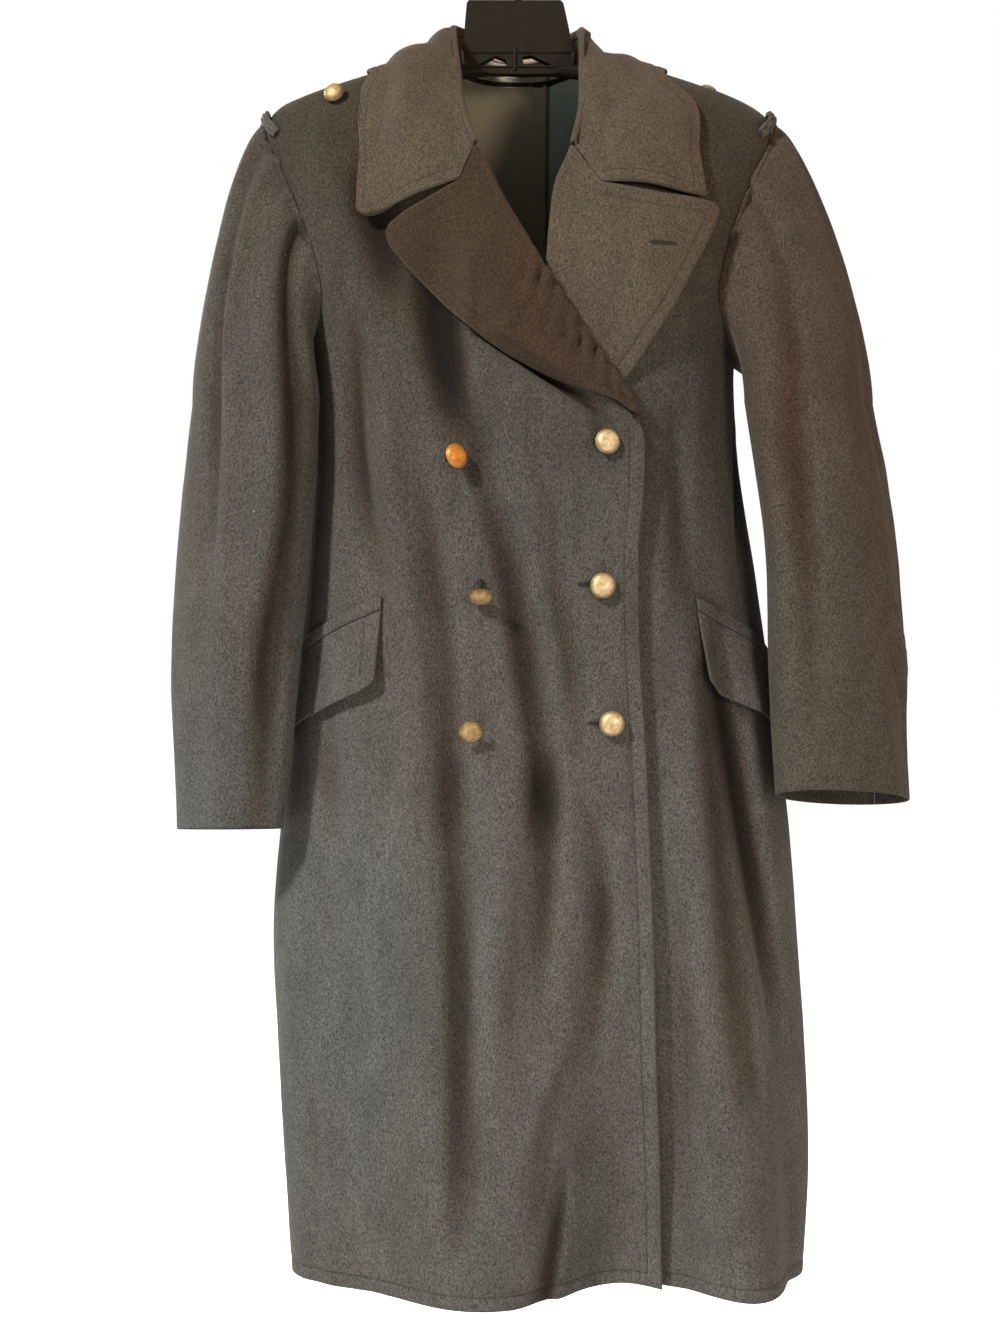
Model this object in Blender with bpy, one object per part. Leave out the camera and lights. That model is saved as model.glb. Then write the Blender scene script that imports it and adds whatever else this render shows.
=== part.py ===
"""Double-breasted military greatcoat on a moulded hanger: the solids of its pieces.

Metres, +Z up, the coat's front faces -Y and the wearer's left is +X. The origin is the underside
of the hook's crown, where a rail carries it, so a height is given as its drop below that point.

The body is one surface of horizontal rings with folds on it. A place on it is (angle, drop, out):
angle runs from 0 at the front's middle to +90 degrees at the +X side and 180 at the back, and out
is the distance outside the surface. Each panel, lapel, collar and flap is a wall made from places
on that surface, so neighbours follow each other.
"""

import math

import bpy
import numpy as np
from mathutils import Matrix, Vector

CLOTH = 0.0025
LINING = 0.0012
SEAM_GAP = 0.0003

HEM_DROP = 1.277
NECK_DROP = 0.118
BACK_NECK_DROP = 0.124
SHOULDER_DROP = 0.178
UNDERARM_DROP = 0.412
RING_SQUARENESS = 2.2
FOLD_FADE = 0.07

WOOL = (0.075, 0.072, 0.066)
LINING_COLOUR = (0.16, 0.15, 0.11)
BRASS = (0.50, 0.35, 0.13)
BLACK_PLASTIC = (0.012, 0.011, 0.011)
LABEL_COLOUR = (0.55, 0.42, 0.28)
TAB_COLOUR = (0.85, 0.85, 0.83)


def table(columns, *rows):
    """Named columns from rows of numbers."""
    return {name: np.array(values, float) for name, values in zip(columns.split(), zip(*rows))}


# Rings of the body: how far each reaches to its sides, front and back at that drop.
RINGS = table(
    "drop left right front back",
    (0.118, 0.064, 0.064, 0.020, 0.046),
    (0.127, 0.105, 0.105, 0.038, 0.058),
    (0.137, 0.148, 0.148, 0.052, 0.066),
    (0.147, 0.180, 0.178, 0.061, 0.073),
    (0.157, 0.207, 0.205, 0.068, 0.079),
    (0.167, 0.231, 0.229, 0.074, 0.084),
    (0.178, 0.246, 0.246, 0.081, 0.089),
    (0.200, 0.247, 0.248, 0.092, 0.096),
    (0.230, 0.242, 0.243, 0.104, 0.101),
    (0.260, 0.236, 0.237, 0.112, 0.105),
    (0.300, 0.226, 0.228, 0.120, 0.108),
    (0.360, 0.211, 0.214, 0.127, 0.108),
    (0.420, 0.200, 0.206, 0.130, 0.105),
    (0.500, 0.198, 0.210, 0.132, 0.100),
    (0.620, 0.207, 0.228, 0.130, 0.094),
    (0.750, 0.217, 0.246, 0.126, 0.092),
    (0.850, 0.227, 0.258, 0.122, 0.094),
    (0.950, 0.234, 0.265, 0.118, 0.098),
    (1.050, 0.230, 0.272, 0.112, 0.102),
    (1.165, 0.224, 0.276, 0.102, 0.106),
    (1.277, 0.217, 0.272, 0.095, 0.110),
)

# Armhole seam: its angle from the front's middle, and from the back's middle.
ARMHOLE = table(
    "drop front back",
    (0.178, 90, 90),
    (0.183, 81, 82),
    (0.190, 76.5, 78),
    (0.205, 72.5, 74.5),
    (0.228, 67, 70.5),
    (0.260, 62, 67),
    (0.300, 58, 64),
    (0.340, 57, 63),
    (0.370, 60, 66),
    (0.392, 68, 73),
    (0.406, 79, 82),
    (0.412, 90, 90),
)

# Inner edge of the wearer's right front, which laps over: neck seam, seam of the lapel 6 mm
# behind its roll, then the front edge.
LAPPING_EDGE = table(
    "drop x",
    (0.118, -0.062),
    (0.145, -0.067),
    (0.180, -0.062),
    (0.215, -0.053),
    (0.2322, -0.046),
    (0.2492, -0.036),
    (0.2762, -0.024),
    (0.3152, -0.0015),
    (0.3474, 0.0175),
    (0.3892, 0.0440),
    (0.4402, 0.0800),
    (0.4600, 0.0930),
    (0.4740, 0.1020),
    (0.4860, 0.1105),
    (0.4960, 0.1112),
    (0.5330, 0.1107),
    (0.6000, 0.1058),
    (0.6760, 0.1067),
    (0.7850, 0.1136),
    (0.8940, 0.1188),
    (1.0350, 0.1245),
    (1.1750, 0.1317),
    (1.2770, 0.1350),
)

# Inner edge of the wearer's left front, which lies underneath.
UNDER_EDGE = table(
    "drop x",
    (0.118, 0.062),
    (0.145, 0.067),
    (0.180, 0.063),
    (0.215, 0.058),
    (0.2322, 0.0545),
    (0.2600, 0.0430),
    (0.3045, 0.0365),
    (0.3410, 0.0330),
    (0.3800, 0.0200),
    (0.4200, -0.0120),
    (0.4600, -0.0560),
    (0.4900, -0.0800),
    (0.6500, -0.0800),
    (1.2770, -0.0760),
)

# How far the under front sits inside the lapping one, and the drop where it does.
UNDER_DEPTH = table(
    "drop depth",
    (0.240, 0.0000),
    (0.300, 0.0050),
    (0.345, 0.0110),
    (0.500, 0.0110),
    (0.560, 0.0034),
    (1.000, 0.0040),
    (1.277, 0.0070),
)
UNDER_REACH = 0.020
UNDER_FADE = 0.090

# Folds: a line through three places on a face (1 front, -1 back), half its width, and its rise.
FOLDS = table(
    "face x_top drop_top x_bend drop_bend x_foot drop_foot width rise_top rise_bend rise_foot",
    (1, -0.152, 0.36, -0.150, 0.46, -0.130, 0.60, 0.030, -0.004, -0.007, -0.003),
    (1, -0.070, 0.36, -0.062, 0.42, -0.048, 0.50, 0.040, -0.008, -0.010, -0.003),
    (1, -0.122, 0.44, -0.112, 0.56, -0.086, 0.70, 0.034, 0.003, 0.007, 0.005),
    (1, -0.094, 0.52, -0.076, 0.68, -0.048, 0.84, 0.032, -0.004, -0.008, -0.007),
    (1, -0.060, 0.88, -0.056, 1.00, -0.058, 1.16, 0.038, -0.007, -0.010, -0.008),
    (1, -0.034, 0.50, -0.004, 0.62, 0.014, 0.76, 0.034, -0.004, -0.009, -0.007),
    (1, 0.028, 0.82, 0.020, 0.92, 0.014, 1.02, 0.036, -0.006, -0.007, -0.002),
    (1, 0.070, 0.86, 0.076, 0.95, 0.070, 1.06, 0.036, -0.005, -0.008, -0.003),
    (1, -0.045, 0.98, -0.036, 1.12, -0.040, 1.30, 0.105, 0.004, 0.020, 0.036),
    (1, 0.090, 0.98, 0.094, 1.12, 0.098, 1.30, 0.080, -0.003, -0.018, -0.036),
    (1, 0.156, 0.62, 0.170, 0.90, 0.206, 1.30, 0.055, 0.005, 0.015, 0.040),
    (1, 0.190, 0.72, 0.214, 0.86, 0.238, 1.02, 0.036, -0.006, -0.010, -0.004),
    (1, -0.176, 0.88, -0.165, 1.02, -0.160, 1.20, 0.050, -0.003, -0.006, -0.004),
    (-1, -0.120, 0.55, -0.135, 0.85, -0.150, 1.30, 0.080, 0.002, 0.010, 0.022),
    (-1, -0.060, 0.60, -0.066, 0.90, -0.072, 1.30, 0.060, -0.002, -0.008, -0.014),
    (-1, 0.004, 0.55, 0.006, 0.85, 0.010, 1.30, 0.075, 0.002, 0.010, 0.020),
    (-1, 0.076, 0.60, 0.088, 0.90, 0.096, 1.30, 0.060, -0.002, -0.008, -0.014),
    (-1, 0.140, 0.55, 0.166, 0.85, 0.190, 1.30, 0.080, 0.002, 0.010, 0.022),
    (-1, -0.110, 0.24, -0.090, 0.34, -0.078, 0.46, 0.040, -0.003, -0.005, -0.002),
    (-1, 0.118, 0.24, 0.100, 0.34, 0.086, 0.46, 0.040, -0.003, -0.005, -0.002),
)

# Lapels: the outer edge, and the top edge from the roll through the notch to the tip.
LAPEL_ROLL_RADIUS = 0.0028
LAPEL_FLAT = 0.006
LAPEL_LIFT = 0.0050
LAPELS = {
    "right": {
        "edge": table(
            "x drop",
            (-0.1220, 0.3060),
            (-0.1060, 0.3330),
            (-0.0699, 0.3730),
            (-0.0226, 0.4120),
            (0.0290, 0.4403),
            (0.0629, 0.4536),
            (0.0907, 0.4640),
            (0.0980, 0.4700),
        ),
        "top": table(
            "x drop",
            (-0.0404, 0.2290),
            (-0.0526, 0.2617),
            (-0.0909, 0.2841),
            (-0.1115, 0.2939),
            (-0.1220, 0.3060),
        ),
    },
    "left": {
        "edge": table(
            "x drop",
            (0.1790, 0.2830),
            (0.1550, 0.3370),
            (0.1360, 0.3742),
            (0.1190, 0.4046),
            (0.0990, 0.4380),
            (0.0500, 0.4680),
            (-0.0500, 0.4800),
        ),
        "top": table(
            "x drop",
            (0.0490, 0.2290),
            (0.0733, 0.2632),
            (0.1249, 0.2715),
            (0.1640, 0.2750),
            (0.1790, 0.2830),
        ),
    },
}

# Collar: the fold round the neck where its fall turns over the stand, the seam to the body's
# neck below it (by the share of the way round), and the outer edge of the fall.
COLLAR_FOLD = table(
    "x y drop",
    (-0.0380, -0.1085, 0.2243),
    (-0.0480, -0.0930, 0.1950),
    (-0.0545, -0.0590, 0.1430),
    (-0.0595, -0.0150, 0.0980),
    (-0.0600, 0.0180, 0.0825),
    (-0.0450, 0.0500, 0.0850),
    (0.0000, 0.0660, 0.0890),
    (0.0450, 0.0500, 0.0850),
    (0.0595, 0.0180, 0.0825),
    (0.0585, -0.0150, 0.0960),
    (0.0570, -0.0560, 0.1400),
    (0.0545, -0.0900, 0.1920),
    (0.0470, -0.1080, 0.2250),
)
COLLAR_EDGE = table(
    "face x drop",
    (1, -0.1471, 0.2794),
    (1, -0.1458, 0.2150),
    (1, -0.1448, 0.1610),
    (1, -0.1415, 0.1380),
    (-1, -0.1340, 0.1470),
    (-1, -0.0860, 0.1730),
    (-1, 0.0000, 0.1880),
    (-1, 0.0860, 0.1730),
    (-1, 0.1340, 0.1470),
    (1, 0.1390, 0.1380),
    (1, 0.1520, 0.1640),
    (1, 0.1645, 0.2150),
    (1, 0.1693, 0.2664),
)
# The fall's front ends: down the gorge seam to the notch, then along the bottom edge to the tip.
COLLAR_ENDS = {
    "right": table(
        "x drop",
        (-0.0410, 0.2280),
        (-0.0534, 0.2608),
        (-0.0984, 0.2765),
        (-0.1360, 0.2880),
        (-0.1471, 0.2794),
    ),
    "left": table(
        "x drop",
        (0.0497, 0.2280),
        (0.0741, 0.2622),
        (0.1126, 0.2630),
        (0.1550, 0.2664),
        (0.1693, 0.2664),
    ),
}
COLLAR_ROLL_RADIUS = 0.0028
COLLAR_BULGE = 0.006
COLLAR_RISE = 0.009
COLLAR_OUT = 0.0060
COLLAR_CLEAR = 0.0036

# Sleeves: rings below the armhole, each an ellipse turned in plan, and tipped front to back.
SLEEVES = {
    "right": table(
        "drop x y long short turn tip",
        (0.455, -0.2488, -0.058, 0.077, 0.049, 42, 0.00),
        (0.520, -0.2533, -0.060, 0.080, 0.050, 40, 0.00),
        (0.600, -0.2600, -0.062, 0.080, 0.050, 38, 0.00),
        (0.680, -0.2650, -0.062, 0.077, 0.047, 36, 0.04),
        (0.760, -0.2675, -0.061, 0.071, 0.043, 34, 0.08),
        (0.851, -0.2695, -0.060, 0.061, 0.037, 34, 0.10),
    ),
    "left": table(
        "drop x y long short turn tip",
        (0.455, 0.2745, -0.058, 0.082, 0.051, 40, 0.00),
        (0.520, 0.2860, -0.060, 0.083, 0.053, 39, 0.00),
        (0.600, 0.2964, -0.062, 0.083, 0.051, 38, 0.04),
        (0.680, 0.3000, -0.063, 0.083, 0.050, 35, 0.08),
        (0.760, 0.3015, -0.063, 0.080, 0.048, 33, 0.14),
        (0.822, 0.3033, -0.062, 0.077, 0.047, 30, 0.20),
    ),
}
# Turns of the upper sleeve's two seams with the under sleeve: in front, and behind.
SLEEVE_SEAMS = (135.0, 272.0)
SLEEVE_HEAD_GAP = 0.8
SLEEVE_TWIST = 48.0
SLEEVE_HEAD_SHARES = (0.0, 0.05, 0.13, 0.27, 0.47, 0.72)
SLEEVE_HEAD_OUT = 0.34
SLEEVE_HEAD_FRONT = 0.24
SLEEVE_HEAD_DOWN = 0.07
SLEEVE_UNDER_OUT = 0.60
SLEEVE_UNDER_DOWN = 0.30
SLEEVE_CLEAR = 0.0015

# Pocket flaps and the welts above them: front end, rear end, depth at each, and lift at the foot.
POCKETS = {
    "right": {"front": (-0.1250, 0.6490), "rear_angle": -84.0, "rear_drop": 0.704, "sign": -1},
    "left": {"front": (0.1630, 0.6500), "rear_angle": 84.0, "rear_drop": 0.704, "sign": 1},
}
FLAP_DEPTH_FRONT = 0.063
FLAP_DEPTH_REAR = 0.070
FLAP_CORNER = 0.014
FLAP_LIFT = 0.006
FLAP_GAP = 0.0009
WELT_HEIGHT = 0.0125

# Shoulder-strap loops: the place on the shoulder line and how far each arches.
LOOP_WIDTH = 0.0085
LOOP_ARCH = 0.0030
LOOP_SPREAD = 16.0
LOOP_DROP = 0.1705
LOOP_FALL = 0.0170
LOOPS = {"right": -90.0, "left": 90.0}

BUTTON_RADIUS = 0.0115
SHOULDER_BUTTON_RADIUS = 0.0100
SHANK_RADIUS = 0.0022
# Buttons: place on the front, the way the face turns (right and up, degrees) and shank length.
BUTTONS = {
    "button_fastened_1": {"x": 0.0788, "drop": 0.4985, "aside": 0, "droop": 4, "shank": 0.0042},
    "button_fastened_2": {"x": 0.0744, "drop": 0.6275, "aside": -6, "droop": 0, "shank": 0.0046},
    "button_fastened_3": {"x": 0.0826, "drop": 0.7513, "aside": -4, "droop": 3, "shank": 0.0044},
    "button_outer_1": {"x": -0.0647, "drop": 0.5150, "aside": 46, "droop": 6, "shank": 0.0130},
    "button_outer_2": {"x": -0.0345, "drop": 0.6225, "aside": 6, "droop": -52, "shank": 0.0165},
    "button_outer_3": {"x": -0.0440, "drop": 0.7515, "aside": 10, "droop": -34, "shank": 0.0110},
}
SHOULDER_BUTTONS = {
    "button_shoulder_right": {
        "panel": "front_right", "angle": -46, "drop": 0.168, "aside": 0, "droop": -15, "shank": 0.0045,
    },
    "button_shoulder_left": {
        "panel": "back", "angle": 98, "drop": 0.149, "aside": 0, "droop": 0, "shank": 0.004,
    },
}
BUTTON_GAP = 0.0005

LINING_FOOT_DROP = 0.520
LINING_GAP = 0.0030
LINING_SEWN = 0.0008
PLEAT_X = 0.030
PLEAT_WIDTH = 0.014
PLEAT_DEPTH = 0.0040

# Hanger: the plate's outline (x, z) and the two windows through it.
HANGER_PLATE = (
    (-0.0470, -0.0615),
    (-0.0492, -0.0645),
    (-0.0510, -0.0850),
    (-0.0525, -0.1080),
    (-0.0515, -0.1270),
    (-0.0250, -0.1318),
    (0.0050, -0.1325),
    (0.0350, -0.1318),
    (0.0510, -0.1270),
    (0.0525, -0.1080),
    (0.0480, -0.0850),
    (0.0435, -0.0645),
    (0.0405, -0.0615),
)
HANGER_WINDOWS = {
    "window_right": ((-0.0390, -0.1238), (-0.0110, -0.1246), (-0.0112, -0.1192), (-0.0218, -0.1146)),
    "window_left": ((0.0055, -0.1246), (0.0325, -0.1238), (0.0130, -0.1146), (0.0040, -0.1158)),
}
HANGER_THICKNESS = 0.0110
HANGER_ARM_END = 0.2150
ARM_GAP = 0.0010
HOOK_RADIUS = 0.0035
HOOK_INNER = 0.0190


def smooth(places, values, at):
    """A smooth curve through a column that never passes its rows, clamped at its ends."""
    places, values, at = np.asarray(places, float), np.asarray(values, float), np.asarray(at, float)
    secants = np.diff(values) / np.diff(places)
    slopes = np.gradient(values, places)
    before, after = np.r_[secants[0], secants], np.r_[secants, secants[-1]]
    most = 3 * np.minimum(np.abs(before), np.abs(after)) * (before * after > 0)
    slopes = np.clip(slopes, -most, most)
    i = np.clip(np.searchsorted(places, at) - 1, 0, len(places) - 2)
    span = places[i + 1] - places[i]
    t = np.clip((at - places[i]) / span, 0.0, 1.0)
    rise = values[i + 1] - values[i]
    bend_in = slopes[i] * span - rise
    bend_out = rise - slopes[i + 1] * span
    return values[i] + t * rise + t * (1 - t) * ((1 - t) * bend_in + t * bend_out)


def step(t):
    """0 to 1 as t goes from 0 to 1, with level ends."""
    t = np.clip(t, 0.0, 1.0)
    return t * t * (3 - 2 * t)


def points(x, y, z):
    return np.stack(np.broadcast_arrays(x, y, z), axis=-1)


def unit(vectors):
    return vectors / np.maximum(np.linalg.norm(vectors, axis=-1, keepdims=True), 1e-12)


def reach(drop, column):
    return smooth(RINGS["drop"], RINGS[column], drop)


def base_point(angle, drop):
    """The body's surface before its folds."""
    angle, drop = np.broadcast_arrays(np.asarray(angle, float), np.asarray(drop, float))
    left, right = reach(drop, "left"), reach(drop, "right")
    power = 2 / RING_SQUARENESS
    sine, cosine = np.sin(angle), np.cos(angle)
    x = (right - left) / 2 + (right + left) / 2 * np.sign(sine) * np.abs(sine) ** power
    depth = np.where(cosine > 0, -reach(drop, "front"), reach(drop, "back"))
    return points(x, depth * np.abs(cosine) ** power, -drop)


def base_normal(angle, drop):
    h_angle, h_drop = 0.004, 0.0008
    drop = np.clip(drop, RINGS["drop"][0] + h_drop, HEM_DROP - h_drop)
    across = base_point(angle + h_angle, drop) - base_point(angle - h_angle, drop)
    down = base_point(angle, drop + h_drop) - base_point(angle, drop - h_drop)
    return unit(np.cross(down, across))


def angle_at(x, drop, face=1):
    """The angle where a ring passes x on its front (1) or its back (-1)."""
    left, right = reach(drop, "left"), reach(drop, "right")
    share = (x - (right - left) / 2) / ((right + left) / 2)
    angle = np.arcsin(np.sign(share) * np.minimum(np.abs(share), 1.0) ** (RING_SQUARENESS / 2))
    return angle if face > 0 else math.pi - angle


def fold_rise(angle, drop):
    """How far the folds carry the cloth out at each place."""
    here = base_point(angle, drop)
    total = np.zeros(here.shape[:-1])
    for i, face in enumerate(FOLDS["face"]):
        fold = {name: values[i] for name, values in FOLDS.items()}
        knots = (fold["drop_top"], fold["drop_bend"], fold["drop_foot"])
        x = smooth(knots, (fold["x_top"], fold["x_bend"], fold["x_foot"]), here[..., 2] * -1)
        line = base_point(angle_at(x, -here[..., 2], face), -here[..., 2])
        away = np.linalg.norm((here - line)[..., :2], axis=-1)
        shape = np.clip(1 - (away / fold["width"]) ** 2, 0, 1) ** 2
        ends = (knots[0] - FOLD_FADE, *knots, knots[2] + FOLD_FADE)
        rises = (0, fold["rise_top"], fold["rise_bend"], fold["rise_foot"], 0)
        total = total + shape * smooth(ends, rises, -here[..., 2])
    return total


def cloth_point(angle, drop, out=0.0):
    """A place on the body's cloth."""
    angle, drop, out = np.broadcast_arrays(angle, drop, out)
    away = (fold_rise(angle, drop) + out)[..., None]
    return base_point(angle, drop) + base_normal(angle, drop) * away


def front_point(x, drop, out=0.0):
    return cloth_point(angle_at(x, drop), drop, out)


def seam_angle(drop):
    """Half the seam gap at a side seam, as an angle."""
    both = reach(drop, "front") + reach(drop, "back")
    return (SEAM_GAP / both) ** (RING_SQUARENESS / 2)


def side_angle(drop, face):
    """Where a panel ends at the side: shoulder seam, armhole, then side seam."""
    armhole = np.radians(smooth(ARMHOLE["drop"], ARMHOLE[face], drop))
    inside = (drop > SHOULDER_DROP) & (drop < UNDERARM_DROP)
    return np.where(inside, armhole, math.pi / 2) - seam_angle(drop)


def lapping_x(drop):
    return smooth(LAPPING_EDGE["drop"], LAPPING_EDGE["x"], drop)


def under_x(drop):
    return smooth(UNDER_EDGE["drop"], UNDER_EDGE["x"], drop)


def under_out(x, drop):
    """How far inside the body's surface the under front lies."""
    depth = smooth(UNDER_DEPTH["drop"], UNDER_DEPTH["depth"], drop)
    past = (x - lapping_x(drop) - UNDER_REACH) / UNDER_FADE
    return -depth * (1 - step(past))


def levels():
    """The drops of the body's rows: close at the shoulder and the underarm, even below."""
    shoulder = np.array([0.118, 0.125, 0.137, 0.150, 0.164, 0.178])
    armhole = np.array([0.183, 0.191, 0.206, 0.229, 0.262, 0.300, 0.340, 0.372, 0.395, 0.407])
    chest = np.array([0.412, 0.434, 0.455, 0.474, 0.500])
    skirt = np.linspace(0.500, HEM_DROP, 15)[1:]
    return np.concatenate([shoulder, armhole, chest, skirt])


def outward(mesh):
    """Turns a closed mesh's faces outward if they face in."""
    volume = 0.0
    mesh.calc_loop_triangles()
    for triangle in mesh.loop_triangles:
        a, b, c = (mesh.vertices[i].co for i in triangle.vertices)
        volume += a.dot(b.cross(c))
    if volume < 0:
        mesh.flip_normals()
    return mesh


def new_object(name, mesh, colour, roughness=0.9, metallic=0.0):
    material = bpy.data.materials.get(name) or bpy.data.materials.new(name)
    material.use_nodes = True
    shader = material.node_tree.nodes["Principled BSDF"]
    shader.inputs["Base Color"].default_value = (*colour, 1.0)
    shader.inputs["Roughness"].default_value = roughness
    shader.inputs["Metallic"].default_value = metallic
    outward(mesh).materials.append(material)
    made = bpy.data.objects.new(name, mesh)
    COLLECTION.objects.link(made)
    return made


def wall(name, outer, inner, colour, closed=False):
    """A wall between two grids of points, each (rows, columns, 3). Closed joins its last column."""
    rows, columns = outer.shape[:2]
    vertices = np.concatenate([outer.reshape(-1, 3), inner.reshape(-1, 3)])
    back = rows * columns
    faces = []
    for row in range(rows - 1):
        for column in range(columns if closed else columns - 1):
            a = row * columns + column
            b = row * columns + (column + 1) % columns
            c, d = b + columns, a + columns
            faces += [(a, d, c, b), (back + a, back + b, back + c, back + d)]
    if closed:
        last = (rows - 1) * columns
        for column in range(columns):
            a, b = column, (column + 1) % columns
            faces.append((a, b, back + b, back + a))
            faces.append((last + b, last + a, back + last + a, back + last + b))
    else:
        rim = [row * columns + column for row, column in border(rows, columns)]
        faces += [(a, b, back + b, back + a) for a, b in zip(rim, rim[1:] + rim[:1])]
    mesh = bpy.data.meshes.new(name)
    mesh.from_pydata(vertices.tolist(), [], faces)
    mesh.update()
    mesh.shade_smooth()
    mesh.set_sharp_from_angle(angle=math.radians(50))
    return new_object(name, mesh, colour)


def border(rows, columns):
    """The grid's places round its edge, in order."""
    top = [(0, column) for column in range(columns)]
    right = [(row, columns - 1) for row in range(1, rows)]
    bottom = [(rows - 1, column) for column in range(columns - 2, -1, -1)]
    left = [(row, 0) for row in range(rows - 2, 0, -1)]
    return top + right + bottom + left


def spread(start, end, count, first=0.0, last=1.0):
    """Columns between two edges, a row for each level."""
    share = np.linspace(first, last, count)
    return np.asarray(start)[:, None] * (1 - share) + np.asarray(end)[:, None] * share


PANELS = {}


def body_wall(name, angles, drops, out=0.0, thickness=CLOTH, colour=WOOL):
    """A panel on the body's surface. Its outer points are kept for what lies on it."""
    outer = cloth_point(angles, drops, out)
    inner = cloth_point(angles, drops, out - thickness)
    PANELS[name] = {"angles": angles, "drops": drops, "outer": outer, "inner": inner}
    return wall(name, outer, inner, colour)


def lapping_front():
    """The wearer's right front. Its last columns run beside the under front's first ones."""
    drops = levels()
    edge = angle_at(lapping_x(drops), drops)
    side = -side_angle(drops, "front")
    shared = angle_at(np.minimum(under_x(drops), lapping_x(drops) - 0.03), drops)
    high = drops < 0.20
    shared = np.where(high, side + 0.6 * (edge - side), shared)
    angles = np.hstack([spread(side, shared, 9)[:, :-1], spread(shared, edge, 8)])
    body_wall("front_right", angles, np.repeat(drops[:, None], angles.shape[1], axis=1))


def under_front():
    drops = levels()
    edge = angle_at(under_x(drops), drops)
    side = side_angle(drops, "front")
    shared = angle_at(np.maximum(lapping_x(drops), under_x(drops) + 0.03), drops)
    high = drops < 0.20
    shared = np.where(high, side - 0.6 * (side - edge), shared)
    angles = np.hstack([spread(edge, shared, 8)[:, :-1], spread(shared, side, 9)])
    drops = np.repeat(drops[:, None], angles.shape[1], axis=1)
    body_wall("front_left", angles, drops, under_out(base_point(angles, drops)[..., 0], drops))


def neck_dip(angles):
    """How far the back's neckline dips at its middle."""
    return (BACK_NECK_DROP - NECK_DROP) * np.cos(angles - math.pi) ** 4


def back_panel():
    drops = levels()
    side = side_angle(drops, "back")
    angles = spread(math.pi - side, math.pi + side, 20)
    drops = drops[:, None] + neck_dip(angles) * np.clip(1 - (drops[:, None] - NECK_DROP) / 0.06, 0, 1)
    body_wall("back", angles, drops)


def place_on(name, angle, drop, out):
    """A place on a panel's own flat facets, so that what lies on it clears them."""
    panel = PANELS[name]
    angle, drop, out = np.broadcast_arrays(angle, drop, out)
    rows = panel["drops"].mean(axis=1)
    both = np.concatenate([panel["outer"], grid_normals(panel["outer"])], axis=-1)
    placed = np.empty((*angle.shape, 3))
    for i in np.ndindex(angle.shape):
        row = int(np.clip(np.searchsorted(rows, drop[i]) - 1, 0, len(rows) - 2))
        down = (drop[i] - rows[row]) / (rows[row + 1] - rows[row])
        ends = panel["angles"][row] * (1 - down) + panel["angles"][row + 1] * down
        column = int(np.clip(np.searchsorted(ends, angle[i]) - 1, 0, len(ends) - 2))
        across = (angle[i] - ends[column]) / (ends[column + 1] - ends[column])
        top = (1 - across) * both[row, column] + across * both[row, column + 1]
        low = (1 - across) * both[row + 1, column] + across * both[row + 1, column + 1]
        here = top * (1 - down) + low * down
        placed[i] = here[:3] + here[3:] * out[i]
    return placed


def coons(left, right, top, bottom, s, r):
    """A patch between four edges. left and right run down with s, top and bottom across with r."""
    s, r = s[:, None, None], r[None, :, None]
    sides = (1 - r) * left[:, None] + r * right[:, None]
    ends = (1 - s) * top[None] + s * bottom[None]
    corners = (1 - r) * ((1 - s) * left[0] + s * left[-1]) + r * ((1 - s) * right[0] + s * right[-1])
    return sides + ends - corners


def shares_of(knots):
    """Each knot's share of the way along their line."""
    lengths = np.linalg.norm(np.diff(knots, axis=0), axis=1)
    along = np.concatenate([[0], np.cumsum(lengths)])
    return along / along[-1]


def along(rows, shares, names=("x", "drop"), straight=False):
    """Places at shares of the way along a table's rows."""
    knots = np.stack([rows[name] for name in names], axis=-1)
    knot_shares = shares_of(knots)
    if straight:
        return np.stack([np.interp(shares, knot_shares, knots[:, i]) for i in range(len(names))], -1)
    return np.stack([smooth(knot_shares, knots[:, i], shares) for i in range(len(names))], -1)


def ring_share(place):
    """How far out a place is, as a multiple of the ring at its height."""
    left, right = reach(-place[..., 2], "left"), reach(-place[..., 2], "right")
    across = np.abs((place[..., 0] - (right - left) / 2) / ((right + left) / 2))
    deep = np.where(place[..., 1] < 0, reach(-place[..., 2], "front"), reach(-place[..., 2], "back"))
    along_y = np.abs(place[..., 1] / deep)
    return (across**RING_SQUARENESS + along_y**RING_SQUARENESS) ** (1 / RING_SQUARENESS)


def keep_off(places, least):
    """Moves places out until each is at least so far outside the body's surface."""
    places = places.copy()
    h = 2e-4
    for _ in range(4):
        share = ring_share(places)
        slope = np.stack([(ring_share(places + h * axis) - share) / h for axis in np.eye(3)], -1)
        size = np.linalg.norm(slope, axis=-1)
        short = np.maximum(least - (share - 1) / size, 0)
        places += slope / size[..., None] * short[..., None]
    return places


def grid_normals(grid, closed=False):
    """The normal at each of a grid's points, from its neighbours."""
    if closed:
        across = np.roll(grid, -1, axis=1) - np.roll(grid, 1, axis=1)
    else:
        across = np.gradient(grid, axis=1)
    return unit(np.cross(np.gradient(grid, axis=0), across))


def middle_wall(name, middle, thickness=CLOTH, colour=WOOL, closed=False, flip=False):
    """A wall to both sides of its middle layer."""
    if flip:
        middle = middle[:, ::-1]
    normals = grid_normals(middle, closed)
    return wall(name, middle + normals * thickness / 2, middle - normals * thickness / 2, colour, closed)


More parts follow.
